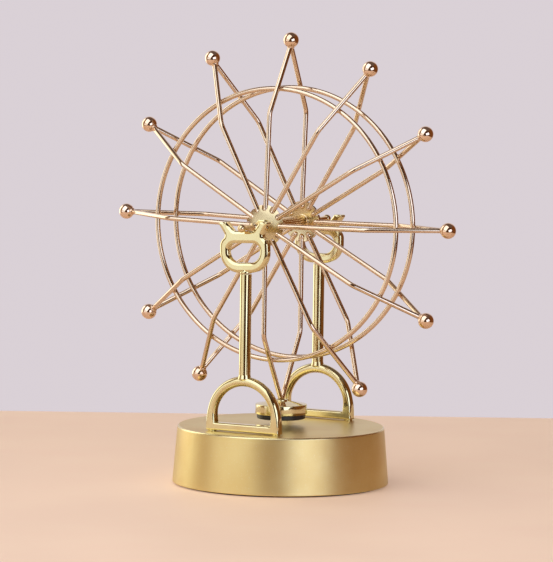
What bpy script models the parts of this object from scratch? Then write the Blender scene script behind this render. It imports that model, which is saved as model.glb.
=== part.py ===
# A magnetic ferris wheel desk ornament, modelled piece by piece in metres, with +Z up.
# The origin is the middle of the base on the table, the axle runs along Y, and -Y is the front.
# A wire wheel with a magnet on its lowest arm rests by its axle in two horned cradles, over a
# round base that holds the battery and the drive coil.

import math

import bmesh
import bpy
from mathutils import Matrix, Vector

# Gaps, overruns and facets
SEAM = 0.0003  # left between two pieces that rest on each other
OVERRUN = 0.001  # how far a cutter runs past the face it opens
MERGE_DISTANCE = 0.000001
SMOOTH_BELOW_DEGREES = 40
BASE_SIDES = 60
HOLDER_SIDES = 36
TURNED_SIDES = 20
SMALL_SIDES = 10
BALL_SIDES = 12
BALL_STEPS = 6
ARC_STEPS = 3
CORNER_STEPS = 5
ARCH_STEPS = 14
WIRE_RESOLUTION = 2  # gives a wire eight sides
PLATE_EDGE_STEPS = 1

# Wheel: arms, rings and balls
ARM_COUNT = 12
MAGNET_ARM = 7  # the arm that hangs straight down
ARM_LEANS_DEGREES = (1.7, 1.1, -1.2, -0.4, -1.2, 1.2, 0, 1.2, -2, 1.3, 0.8, 2.6)  # as bent by hand
WIRE_RADIUS = 0.00125
ARM_OFFSET = 0.0192  # from the wheel's middle plane to an arm's straight run
KINK_TO_TIP = 0.034  # radial length of an arm's slanted run
KINK_BEND_RADIUS = 0.008
TIP_BEND_RADIUS = 0.0015
BALL_RADIUS = 0.004
BALL_CENTRE_RADIUS = 0.093
TIP_INSERTION = 0.0007  # how far an arm's tip enters its ball
RING_WIRE_RADIUS = 0.00125
RING_TO_TIP = 0.0243
RING_POINTS = 48

# Hub and axle
PLATE_RADIUS = 0.0104
PLATE_THICKNESS = 0.0012
PLATE_DOME_RISE = 0.0016
NOTCH_DEPTH = 0.003
AXLE_RADIUS = 0.0021
SLEEVE_WALL = 0.0006
NUT_RADIUS = 0.0036
NUT_THICKNESS = 0.0018
NUT_SIDES = 6
GROOVE_RADIUS = 0.0013
AXLE_BALL_RADIUS = 0.0021
AXLE_PLAY = 0.0025  # free end travel of the groove in its cradle, each way
AXLE_SHIFT = 0.0014  # how far the axle has slid to the rear

# Magnet under the lowest arm
HOLDER_RADIUS = 0.0132
HOLDER_RIM = 0.005
HOLDER_DOME_RISE = 0.0015
HOLDER_EDGE = 0.0004
HOLDER_WALL = 0.0006
COLLAR_WALL = 0.001
COLLAR_HEIGHT = 0.0008
MAGNET_RECESS = 0.002
MAGNET_SHOWN = 0.0024
MAGNET_GAP = 0.0037  # air between the magnet and the base

# Supports
AXLE_FREE_LENGTH = 0.0127  # bare axle between a hub nut and its cradle
HEAD_THICKNESS = 0.0045
HEAD_EDGE_RADIUS = 0.0011
HEAD_HALF_WIDTH = 0.0136
HEAD_BAR = 0.006  # from the cradle's seat down to the hole
HEAD_HOLE_HALF_WIDTH = 0.0091
HEAD_HOLE_HEIGHT = 0.0098
HEAD_HOLE_TOP_RADIUS = 0.0038
HEAD_HOLE_BOTTOM_RADIUS = 0.0055
HEAD_BOTTOM_LIMB = 0.005
HEAD_LOWER_RADIUS = 0.0102
HEAD_UPPER_RADIUS = 0.005
SEAT_HALF_WIDTH = 0.0058
SEAT_CORNER_RADIUS = 0.002
HORN_HEIGHT = 0.0046
HORN_REACH = 0.0144
HORN_WIDTH = 0.0048
HORN_CORNER_RADIUS = 0.0008
WAIST_HALF_WIDTH = 0.0102
WAIST_RADIUS = 0.0018
WAIST_BELOW_SEAT = 0.0027
SHOULDER_BELOW_SEAT = 0.0052
FRONT_HEAD_TILT_DEGREES = 2.5  # the front head stands a little askew on its post
HEAD_BOSS_DROP = 0.0004
HEAD_BOSS_RISE = 0.0024
SPIGOT_WALL = 0.0005
SPIGOT_LENGTH = 0.0034
POST_RADIUS = 0.00295
FOOT_HALF_WIDTH = 0.0208
FOOT_ROD = 0.005
FOOT_DEPTH = 0.0052
FOOT_BAR = 0.004
FOOT_LEG_HEIGHT = 0.0072
FOOT_EDGE_RADIUS = 0.0013
STUD_RADIUS = 0.0022
STUD_HEIGHT = 0.0005
STUD_ROOT = 0.0014

# Base shell, cover, foot ring and screws
BOX_HEADROOM = 0.0053  # from the battery box up to the shell's top
BASE_MARGIN = 0.0066  # base top left free outside the supports
BASE_DRAFT = 0.0024  # how much wider the base is below than above
BASE_EDGE_RADIUS = 0.001
SHELL_WALL = 0.0016
SHELL_TOP = 0.0018
RIM_BELOW_COVER = 0.0004
COVER_THICKNESS = 0.002
FOOT_RING_HEIGHT = 0.0009
FOOT_RING_INSET = 0.0004
SCREW_HEAD_RADIUS = 0.0026
SCREW_HEAD_HEIGHT = 0.0009
SCREW_SHANK_RADIUS = 0.0012
SCREW_LENGTH = 0.012
COUNTERBORE_DEPTH = 0.0011
BOSS_WALL = 0.0015
BOSS_INSET = 0.0012
BOSS_ANGLES_DEGREES = (75, 180, 285)  # clear of the support screws and the battery box
PILOT_RESERVE = 0.002  # free pilot depth past a screw's end
SUPPORT_SCREW_REACH = 0.006

# Nine volt battery, its box, door and terminal plate
BATTERY_LENGTH = 0.0464
BATTERY_WIDTH = 0.0265
BATTERY_HEIGHT = 0.0175
TERMINAL_HEIGHT = 0.0021
TERMINAL_SPACING = 0.0127
SNAP_RADIUS = 0.0028
SOCKET_RADIUS = 0.0038
CONTACT_RADIUS = 0.0032
CONTACT_THICKNESS = 0.0005
TERMINAL_PLATE_THICKNESS = 0.0016
BOX_WALL = 0.0012
BOX_GAP = 0.0006  # from the battery box to the coil and to the shell
DOOR_STEM = 0.001  # thickness of the stems that carry the door's tongues
DOOR_END = 0.0002  # how far a stem stands in from the door's end
TONGUE_WIDTH = 0.008
TONGUE_REACH = 0.001
TONGUE_THICKNESS = 0.0008
TONGUE_ROOT = 0.0014

# Drive coil and circuit board
COIL_RADIUS = 0.011
COIL_FLANGE = 0.001
COIL_TUBE_WALL = 0.0012
COIL_FILL_GAP = 0.0006  # how far the winding stays inside the flanges
CORE_RADIUS = 0.003
BOARD_WIDTH = 0.015
BOARD_LENGTH = 0.024
BOARD_THICKNESS = 0.0012
BOARD_GAP = 0.0015
BOARD_POST_HEIGHT = 0.003
BOARD_POST_RADIUS = 0.0018
BOARD_PEG_RADIUS = 0.0008
BOARD_PEG_HEAD_RADIUS = 0.0014
BOARD_PEG_HEAD_HEIGHT = 0.0006
BOARD_HOLE_INSET = 0.0028
TRANSISTOR_RADIUS = 0.0023
TRANSISTOR_HEIGHT = 0.0042
TRANSISTOR_FLAT = 0.0012
CAPACITOR_RADIUS = 0.002
CAPACITOR_HEIGHT = 0.0038
PART_SPREAD = 0.0042  # from the board's middle to each part on it

# Power switch
KNOB_LENGTH = 0.0042
KNOB_WIDTH = 0.003
KNOB_SHOWN = 0.0004  # how far the knob stands below the cover
FLANGE_REACH = 0.001
FLANGE_THICKNESS = 0.0017
SWITCH_TRAVEL = 0.004
SWITCH_WALL = 0.0012
SWITCH_GAP = 0.0015

# Shares of the sizes that they lie between
DOME_MIDDLE_SHARE = 0.4  # of the holder's dome, fallen half way out
FILLET_LIMIT_SHARE = 0.98  # of an outline's side, the most that its two fillets may use

# Sizes that follow from the ones above
arm_step_degrees = 360 / ARM_COUNT
tip_outer_bend = TIP_BEND_RADIUS + WIRE_RADIUS
seat_radius = SEAM + math.sqrt(tip_outer_bend**2 - (tip_outer_bend - TIP_INSERTION)**2)
seat_mouth_radius = BALL_CENTRE_RADIUS - math.sqrt(BALL_RADIUS**2 - seat_radius**2)
tip_end_radius = seat_mouth_radius + TIP_INSERTION  # where an arm's wire ends, from the axle
tip_half_angle = math.atan(ARM_OFFSET / KINK_TO_TIP)
sharp_tip_radius = tip_end_radius - WIRE_RADIUS + TIP_BEND_RADIUS * (1 / math.sin(tip_half_angle) - 1)
kink_radius = sharp_tip_radius - KINK_TO_TIP
ring_radius = BALL_CENTRE_RADIUS - RING_TO_TIP
arm_root_radius = PLATE_RADIUS - NOTCH_DEPTH + SEAM
ring_wire_at = min(ARM_OFFSET, (sharp_tip_radius - ring_radius) * math.tan(tip_half_angle))
ring_offset = ring_wire_at - (WIRE_RADIUS + RING_WIRE_RADIUS + SEAM) / math.cos(tip_half_angle)

plate_inner = ARM_OFFSET + PLATE_DOME_RISE - PLATE_THICKNESS / 2
plate_outer = ARM_OFFSET + PLATE_DOME_RISE + PLATE_THICKNESS / 2
nut_outer = plate_outer + SEAM + NUT_THICKNESS
support_offset = nut_outer + AXLE_FREE_LENGTH + HEAD_THICKNESS / 2
groove_half = HEAD_THICKNESS / 2 + AXLE_PLAY

collar_top_radius = seat_mouth_radius
dome_top_radius = collar_top_radius + COLLAR_HEIGHT
rim_top_radius = dome_top_radius + HOLDER_DOME_RISE
rim_bottom_radius = rim_top_radius + HOLDER_RIM
magnet_face_radius = rim_bottom_radius + MAGNET_SHOWN

cover_under = FOOT_RING_HEIGHT + SEAM
cover_top = cover_under + COVER_THICKNESS
rim_height = cover_under - RIM_BELOW_COVER
box_under = cover_top + SEAM
box_roof_under = box_under + BATTERY_HEIGHT + SEAM
box_roof_top = box_roof_under + BOX_WALL
shell_under = box_roof_top + BOX_HEADROOM
base_height = shell_under + SHELL_TOP
axle_height = base_height + MAGNET_GAP + magnet_face_radius
seat_height = axle_height - GROOVE_RADIUS - SEAM
head_bottom = seat_height - HEAD_BAR - HEAD_HOLE_HEIGHT - HEAD_BOTTOM_LIMB

box_left = COIL_RADIUS + BOX_GAP
window_left = box_left + BOX_WALL
window_right = window_left + BATTERY_WIDTH + 2 * SEAM
box_right = window_right + BOX_WALL
battery_x = (window_left + window_right) / 2
battery_half_length = (BATTERY_LENGTH + TERMINAL_HEIGHT) / 2
battery_middle = box_under + BATTERY_HEIGHT / 2
window_y = battery_half_length + SEAM + DOOR_STEM + DOOR_END + SEAM
contact_face = battery_half_length + SEAM
terminal_plate_near = contact_face + CONTACT_THICKNESS
terminal_plate_far = terminal_plate_near + TERMINAL_PLATE_THICKNESS
terminal_plate_under = box_under + TONGUE_THICKNESS + SEAM
box_inner_y = max(terminal_plate_far, window_y + TONGUE_REACH) + SEAM
box_outer_y = box_inner_y + BOX_WALL

boss_radius = SCREW_SHANK_RADIUS + SEAM + BOSS_WALL
flange_length = KNOB_LENGTH + 2 * FLANGE_REACH
flange_width = KNOB_WIDTH + 2 * FLANGE_REACH
switch_half_length = (flange_length + SWITCH_TRAVEL) / 2 + SEAM + SWITCH_WALL
switch_half_width = flange_width / 2 + SEAM + SWITCH_WALL
board_x = -(COIL_RADIUS + BOARD_GAP + BOARD_WIDTH / 2)
switch_x = board_x - BOARD_WIDTH / 2 - SWITCH_GAP - switch_half_width
switch_reach = SWITCH_GAP + switch_half_width - switch_x + 2 * boss_radius + BOSS_INSET
box_reach = math.hypot(box_right, box_outer_y) + BOX_GAP
feet_reach = math.hypot(FOOT_HALF_WIDTH, support_offset + FOOT_DEPTH / 2)
base_top_radius = max(feet_reach + BASE_MARGIN, box_reach + SHELL_WALL, switch_reach + SHELL_WALL)
base_bottom_radius = base_top_radius + BASE_DRAFT
cover_radius = base_bottom_radius - SHELL_WALL - SEAM - BASE_DRAFT * (cover_top - rim_height) / base_height
boss_circle = base_top_radius - SHELL_WALL - BOSS_INSET - boss_radius
boss_places = [(boss_circle * math.cos(math.radians(a)), boss_circle * math.sin(math.radians(a)))
               for a in BOSS_ANGLES_DEGREES]
foot_ring_inner = boss_circle + SCREW_HEAD_RADIUS + 2 * SEAM
foot_ring_outer = cover_radius - FOOT_RING_INSET
stud_x = FOOT_HALF_WIDTH - FOOT_ROD / 2
stud_places = [(x * stud_x, y * support_offset) for y in (-1, 1) for x in (-1, 1)]
screw_head_top = cover_under + COUNTERBORE_DEPTH - SEAM
screw_end = screw_head_top + SCREW_LENGTH

board_under = cover_top + BOARD_POST_HEIGHT + SEAM
board_top = board_under + BOARD_THICKNESS
board_hole_y = BOARD_LENGTH / 2 - BOARD_HOLE_INSET
board_places = [(board_x, -board_hole_y), (board_x, board_hole_y)]


def material(name, colour, roughness, metallic):
    made = bpy.data.materials.new(name)
    made.use_nodes = True
    shader = made.node_tree.nodes["Principled BSDF"]
    shader.inputs["Base Color"].default_value = (*colour, 1)
    shader.inputs["Roughness"].default_value = roughness
    shader.inputs["Metallic"].default_value = metallic
    made.diffuse_color = (*colour, 1)
    return made


def make_materials():
    return {
        "satin gold": material("satin gold", (0.66, 0.52, 0.25), 0.38, 1),
        "polished gold": material("polished gold", (0.87, 0.68, 0.34), 0.12, 1),
        "rose gold wire": material("rose gold wire", (0.83, 0.58, 0.40), 0.14, 1),
        "pale gold": material("pale gold", (0.86, 0.76, 0.50), 0.25, 1),
        "magnet black": material("magnet black", (0.02, 0.02, 0.02), 0.5, 0),
        "black plastic": material("black plastic", (0.03, 0.03, 0.03), 0.5, 0),
        "rubber": material("rubber", (0.05, 0.05, 0.05), 0.9, 0),
        "steel": material("steel", (0.6, 0.6, 0.62), 0.3, 1),
        "copper": material("copper", (0.72, 0.35, 0.18), 0.35, 1),
        "circuit green": material("circuit green", (0.04, 0.25, 0.1), 0.5, 0),
        "cell jacket": material("cell jacket", (0.1, 0.1, 0.12), 0.4, 0),
    }


def merged(bm):
    bmesh.ops.remove_doubles(bm, verts=bm.verts, dist=MERGE_DISTANCE)
    bmesh.ops.recalc_face_normals(bm, faces=bm.faces)
    return bm


def arc(centre, radius, start_degrees, end_degrees, steps):
    points = []
    for i in range(steps + 1):
        angle = math.radians(start_degrees + (end_degrees - start_degrees) * i / steps)
        points.append((centre[0] + radius * math.cos(angle), centre[1] + radius * math.sin(angle)))
    return points


def turned(profile, sides, places=((0, 0),)):
    """Spin a half outline of (radius, height) points, from axis to axis or closed, round +Z."""
    whole = bmesh.new()
    open_ended = profile[0][0] == 0 and profile[-1][0] == 0
    for x, y in places:
        bm = bmesh.new()
        verts = [bm.verts.new((radius, 0, height)) for radius, height in profile]
        pairs = zip(verts, verts[1:]) if open_ended else zip(verts, verts[1:] + verts[:1])
        edges = [bm.edges.new(pair) for pair in pairs]
        bmesh.ops.spin(bm, geom=verts + edges, cent=(0, 0, 0), axis=(0, 0, 1), dvec=(0, 0, 0),
                       angle=2 * math.pi, steps=sides, use_merge=True, use_duplicate=False)
        merged(bm)
        bmesh.ops.translate(bm, verts=bm.verts, vec=(x, y, 0))
        copy_into(whole, bm)
    return whole


def rod(radius, low, high, sides, places=((0, 0),)):
    return turned([(0, low), (radius, low), (radius, high), (0, high)], sides, places)


def block(low, high):
    bm = bmesh.new()
    bmesh.ops.create_cube(bm, size=1)
    size = Vector(high) - Vector(low)
    bmesh.ops.scale(bm, verts=bm.verts, vec=size)
    bmesh.ops.translate(bm, verts=bm.verts, vec=(Vector(low) + Vector(high)) / 2)
    return bm


def prism(outline, left, right):
    """A closed outline of (y, z) points, drawn out along X."""
    bm = bmesh.new()
    near, far = [[bm.verts.new((x, y, z)) for y, z in outline] for x in (left, right)]
    bm.faces.new(near)
    bm.faces.new(far)
    for i in range(len(outline)):
        bm.faces.new((near[i - 1], near[i], far[i], far[i - 1]))
    return merged(bm)


def copy_into(whole, bm):
    mesh = bpy.data.meshes.new("loose")
    bm.to_mesh(mesh)
    bm.free()
    whole.from_mesh(mesh)
    bpy.data.meshes.remove(mesh)


def joined(parts):
    whole = bmesh.new()
    for bm in parts:
        copy_into(whole, bm)
    return whole


def lying(bm, matrix):
    bmesh.ops.transform(bm, matrix=matrix, verts=bm.verts)
    return bm


def piece(name, bm, made_of, parent=None):
    mesh = bpy.data.meshes.new(name)
    bm.to_mesh(mesh)
    bm.free()
    mesh.shade_smooth()
    mesh.set_sharp_from_angle(angle=math.radians(SMOOTH_BELOW_DEGREES))
    return placed(name, mesh, made_of, parent)


def placed(name, data, made_of, parent=None):
    made = bpy.data.objects.new(name, data)
    bpy.context.scene.collection.objects.link(made)
    if not data.materials:
        data.materials.append(made_of)
    made.parent = parent
    return made


def evaluated_mesh(made):
    bpy.context.view_layer.update()
    return bpy.data.meshes.new_from_object(made.evaluated_get(bpy.context.evaluated_depsgraph_get()))


def shaped(made, operation, tool_bm):
    """Cut a tool from a piece, or join it on."""
    tool = piece("tool", tool_bm, made.data.materials[0], made.parent)
    boolean = made.modifiers.new(operation, "BOOLEAN")
    boolean.operation = operation
    boolean.object = tool
    result = evaluated_mesh(made)
    made.modifiers.clear()
    old, made.data = made.data, result
    result.name = made.name
    bpy.data.meshes.remove(old)
    tool_mesh = tool.data
    bpy.data.objects.remove(tool)
    bpy.data.meshes.remove(tool_mesh)
    made.data.shade_smooth()
    made.data.set_sharp_from_angle(angle=math.radians(SMOOTH_BELOW_DEGREES))
    return made


def filleted(corners):
    """A closed outline with its (x, z, radius) corners rounded, no further than its sides allow."""
    places = [Vector((x, z)) for x, z, _ in corners]
    count = len(corners)
    halves, runs = [], []
    for i, (_, _, radius) in enumerate(corners):
        half = (places[i - 1] - places[i]).angle(places[(i + 1) % count] - places[i]) / 2
        halves.append(half)
        runs.append(radius / math.tan(half))
    points = []
    for i, corner in enumerate(places):
        fit = 1
        for j in (i - 1, (i + 1) % count):
            used = runs[i] + runs[j]
            room = FILLET_LIMIT_SHARE * (places[j] - corner).length
            fit = min(fit, room / used) if used else fit
        radius = fit * runs[i] * math.tan(halves[i])
        if radius:
            rounded = rounded_corner(places[i - 1], corner, places[(i + 1) % count], radius, CORNER_STEPS)
            points += [tuple(p) for p in rounded]
        else:
            points.append(tuple(corner))
    return points


def upright_plate(outlines, thickness, edge_radius):
    """A plate in the XZ plane with rounded rims, from outlines of (x, z) points."""
    data = bpy.data.curves.new("plate", "CURVE")
    data.dimensions = "2D"
    data.fill_mode = "BOTH"
    data.bevel_depth = edge_radius
    data.bevel_resolution = PLATE_EDGE_STEPS
    data.offset = -edge_radius
    data.extrude = thickness / 2 - edge_radius
    for points in outlines:
        spline = data.splines.new("POLY")
        spline.points.add(len(points) - 1)
        for point, (x, z) in zip(spline.points, points):
            point.co = (x, z, 0, 1)
        spline.use_cyclic_u = True
    holder = bpy.data.objects.new("plate", data)
    bpy.context.scene.collection.objects.link(holder)
    mesh = evaluated_mesh(holder)
    bm = bmesh.new()
    bm.from_mesh(mesh)
    bpy.data.objects.remove(holder)
    bpy.data.curves.remove(data)
    bpy.data.meshes.remove(mesh)
    merged(bm)
    return lying(bm, Matrix.Rotation(math.pi / 2, 4, "X"))


def wire(name, points, radius, made_of, parent=None, closed=False):
    data = bpy.data.curves.new(name, "CURVE")
    data.dimensions = "3D"
    data.bevel_depth = radius
    data.bevel_resolution = WIRE_RESOLUTION
    data.use_fill_caps = True
    spline = data.splines.new("POLY")
    spline.points.add(len(points) - 1)
    for point, place in zip(spline.points, points):
        point.co = (*place, 1)
    spline.use_cyclic_u = closed
    return placed(name, data, made_of, parent)


def rounded_corner(before, corner, after, radius, steps):
    """Points of an arc of the given radius that rounds off a corner of a wire's path."""
    back = (before - corner).normalized()
    ahead = (after - corner).normalized()
    half = back.angle(ahead) / 2
    centre = corner + (back + ahead).normalized() * radius / math.sin(half)
    first = (corner + back * radius / math.tan(half) - centre).normalized()
    last = (corner + ahead * radius / math.tan(half) - centre).normalized()
    return [centre + first.slerp(last, i / steps) * radius for i in range(steps + 1)]


def arm_path(lean_slope):
    """One arm's wire, from the front plate to the tip and back, pointing up along +Z."""
    corners = [Vector((0, -ARM_OFFSET, arm_root_radius)), Vector((0, -ARM_OFFSET, kink_radius)),
               Vector((0, 0, sharp_tip_radius)), Vector((0, ARM_OFFSET, kink_radius)),
               Vector((0, ARM_OFFSET, arm_root_radius))]
    bends = (KINK_BEND_RADIUS, TIP_BEND_RADIUS, KINK_BEND_RADIUS)
    points = [corners[0]]
    for i, bend in enumerate(bends):
        points += rounded_corner(corners[i], corners[i + 1], corners[i + 2], bend, ARC_STEPS)
    points.append(corners[-1])
    return [Vector((lean_slope * (p.z - arm_root_radius), p.y, p.z)) for p in points]


def make_arms(axis, made_of):
    reach = BALL_CENTRE_RADIUS - arm_root_radius
    ball_seat = turned_ball_seat()
    ball_mesh = None
    for number, lean in enumerate(ARM_LEANS_DEGREES, start=1):
        turn = math.radians(arm_step_degrees * (number - 1))
        lean_slope = math.tan(math.radians(lean)) * BALL_CENTRE_RADIUS / reach
        arm = wire(f"arm_wire_{number:02d}", arm_path(lean_slope), WIRE_RADIUS,
                   made_of["rose gold wire"], axis)
        arm.rotation_euler = (0, turn, 0)
        if number == MAGNET_ARM:
            continue
        name = f"tip_ball_{number:02d}"
        if ball_mesh is None:
            ball = piece(name, ball_seat, made_of["polished gold"], axis)
            ball_mesh = ball.data
        else:
            ball = placed(name, ball_mesh, made_of["polished gold"], axis)
        ball.rotation_euler = (0, turn + math.atan(lean_slope), 0)
        ball.location = Matrix.Rotation(turn, 3, "Y") @ Vector((lean_slope * reach, 0, BALL_CENTRE_RADIUS))


def turned_ball_seat():
    """A ball with a shallow seat for an arm's tip on its inner side, centred on the origin."""
    mouth_degrees = -math.degrees(math.acos(seat_radius / BALL_RADIUS))
    seat_floor = tip_end_radius + SEAM - BALL_CENTRE_RADIUS
    outline = [(0, seat_floor), (seat_radius, seat_floor)]
    outline += arc((0, 0), BALL_RADIUS, mouth_degrees, 90, BALL_STEPS)
    outline[-1] = (0, BALL_RADIUS)
    return turned(outline, BALL_SIDES)


def make_rings(axis, made_of):
    for name, side in (("front_ring", -1), ("rear_ring", 1)):
        points = []
        for i in range(RING_POINTS):
            angle = 2 * math.pi * i / RING_POINTS
            points.append((ring_radius * math.sin(angle), side * ring_offset,
                           ring_radius * math.cos(angle)))
        wire(name, points, RING_WIRE_RADIUS, made_of["rose gold wire"], axis, closed=True)


def hub_plate_bm():
    """The front hub plate: a shallow dome with a notch for each arm, in place along Y."""
    notch_half = WIRE_RADIUS + SEAM
    edge_degrees = math.degrees(math.asin(notch_half / PLATE_RADIUS))
    floor_radius = math.hypot(PLATE_RADIUS - NOTCH_DEPTH, notch_half)
    floor_degrees = math.degrees(math.asin(notch_half / floor_radius))
    bore_radius = AXLE_RADIUS + SEAM
    waist_radius = (bore_radius + floor_radius) / 2
    tooth_degrees = arm_step_degrees / 2
    bm = bmesh.new()

    def patch(*corners):
        verts = []
        for radius, degrees in corners:
            dome = PLATE_DOME_RISE * (1 - (radius / PLATE_RADIUS)**2)
            angle = math.radians(degrees)
            verts.append(bm.verts.new((radius * math.sin(angle), -ARM_OFFSET - dome - PLATE_THICKNESS / 2,
                                       radius * math.cos(angle))))
        bm.faces.new(verts)

    for i in range(ARM_COUNT):
        notch = i * arm_step_degrees
        tooth = notch + tooth_degrees
        next_notch = notch + arm_step_degrees
        spread = [notch - floor_degrees, notch + floor_degrees, tooth, next_notch - floor_degrees]
        for first, second in zip(spread, spread[1:]):
            for inner, outer in ((bore_radius, waist_radius), (waist_radius, floor_radius)):
                patch((inner, first), (inner, second), (outer, second), (outer, first))
        patch((floor_radius, notch + floor_degrees), (floor_radius, tooth), (PLATE_RADIUS, tooth),
              (PLATE_RADIUS, notch + edge_degrees))
        patch((floor_radius, tooth), (floor_radius, next_notch - floor_degrees),
              (PLATE_RADIUS, next_notch - edge_degrees), (PLATE_RADIUS, tooth))
    merged(bm)
    copied = bmesh.ops.extrude_face_region(bm, geom=bm.faces[:], use_keep_orig=True)["geom"]
    inner_side = [part for part in copied if isinstance(part, bmesh.types.BMVert)]
    bmesh.ops.translate(bm, verts=inner_side, vec=(0, PLATE_THICKNESS, 0))
    return merged(bm)


def make_hub(axis, made_of):
    along_y = Matrix.Rotation(-math.pi / 2, 4, "X")
    front = piece("front_hub_plate", hub_plate_bm(), made_of["pale gold"], axis)
    rear = placed("rear_hub_plate", front.data, made_of["pale gold"], axis)
    rear.rotation_euler = (0, 0, math.pi)

    sleeve_bore = AXLE_RADIUS + SEAM
    sleeve_half = plate_inner - SEAM
    sleeve_radius = sleeve_bore + SLEEVE_WALL
    sleeve = turned([(sleeve_bore, -sleeve_half), (sleeve_radius, -sleeve_half),
                     (sleeve_radius, sleeve_half), (sleeve_bore, sleeve_half)], TURNED_SIDES)
    piece("hub_sleeve", lying(sleeve, along_y), made_of["polished gold"], axis)

    nut_inner = plate_outer + SEAM
    nut = rod(NUT_RADIUS, -nut_outer, -nut_inner, NUT_SIDES)
    front_nut = piece("front_hub_nut", lying(nut, along_y), made_of["polished gold"], axis)
    nut_bore = rod(sleeve_bore, -nut_outer - OVERRUN, OVERRUN - nut_inner, TURNED_SIDES)
    shaped(front_nut, "DIFFERENCE", lying(nut_bore, along_y))
    rear_nut = placed("rear_hub_nut", front_nut.data, made_of["polished gold"], axis)
    rear_nut.rotation_euler = (0, 0, math.pi)

    inner_groove = support_offset - groove_half
    outer_groove = support_offset + groove_half
    ball_centre = outer_groove + math.sqrt(AXLE_BALL_RADIUS**2 - GROOVE_RADIUS**2)
    meet_degrees = 180 - math.degrees(math.asin(GROOVE_RADIUS / AXLE_BALL_RADIUS))
    ball_end = arc((ball_centre, 0), AXLE_BALL_RADIUS, meet_degrees, 0, BALL_STEPS)[:-1]
    half = [(AXLE_RADIUS, inner_groove - (AXLE_RADIUS - GROOVE_RADIUS)), (GROOVE_RADIUS, inner_groove)]
    half += [(radius, along) for along, radius in ball_end]
    half.append((0, ball_centre + AXLE_BALL_RADIUS))
    outline = [(r, AXLE_SHIFT - y) for r, y in reversed(half)] + [(r, AXLE_SHIFT + y) for r, y in half]
    piece("axle", lying(turned(outline, TURNED_SIDES), along_y), made_of["polished gold"], axis)


def make_magnet(axis, made_of):
    """The holder and its magnet, drawn from the axle outwards and hung on the lowest arm."""
    collar_radius = seat_radius + COLLAR_WALL
    recess_radius = HOLDER_RADIUS - HOLDER_WALL
    recess_floor = rim_bottom_radius - MAGNET_RECESS
    magnet_radius = recess_radius - SEAM
    dome_middle = (collar_radius + HOLDER_RADIUS) / 2
    outline = [(0, tip_end_radius + SEAM), (seat_radius, tip_end_radius + SEAM),
               (seat_radius, collar_top_radius), (collar_radius, collar_top_radius),
               (collar_radius, dome_top_radius),
               (dome_middle, dome_top_radius + HOLDER_DOME_RISE * DOME_MIDDLE_SHARE),
               (HOLDER_RADIUS - HOLDER_EDGE, rim_top_radius),
               (HOLDER_RADIUS, rim_top_radius + HOLDER_EDGE), (HOLDER_RADIUS, rim_bottom_radius),
               (recess_radius, rim_bottom_radius), (recess_radius, recess_floor), (0, recess_floor)]
    holder = piece("magnet_holder", turned(outline, HOLDER_SIDES), made_of["polished gold"], axis)
    disc = rod(magnet_radius, recess_floor + SEAM, magnet_face_radius, HOLDER_SIDES)
    magnet = piece("drive_magnet", disc, made_of["magnet black"], axis)
    turn = math.radians(arm_step_degrees * (MAGNET_ARM - 1))
    holder.rotation_euler = magnet.rotation_euler = (0, turn, 0)


def foot_outlines(bottom):
    spring = bottom + FOOT_LEG_HEIGHT
    inner_half = FOOT_HALF_WIDTH - FOOT_ROD
    outer = [(-FOOT_HALF_WIDTH, bottom), (FOOT_HALF_WIDTH, bottom)]
    outer += arc((0, spring), FOOT_HALF_WIDTH, 0, 180, ARCH_STEPS)
    inner = [(-inner_half, bottom + FOOT_BAR), (inner_half, bottom + FOOT_BAR)]
    inner += arc((0, spring), inner_half, 0, 180, ARCH_STEPS)
    return [outer, inner], spring + FOOT_HALF_WIDTH


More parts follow.
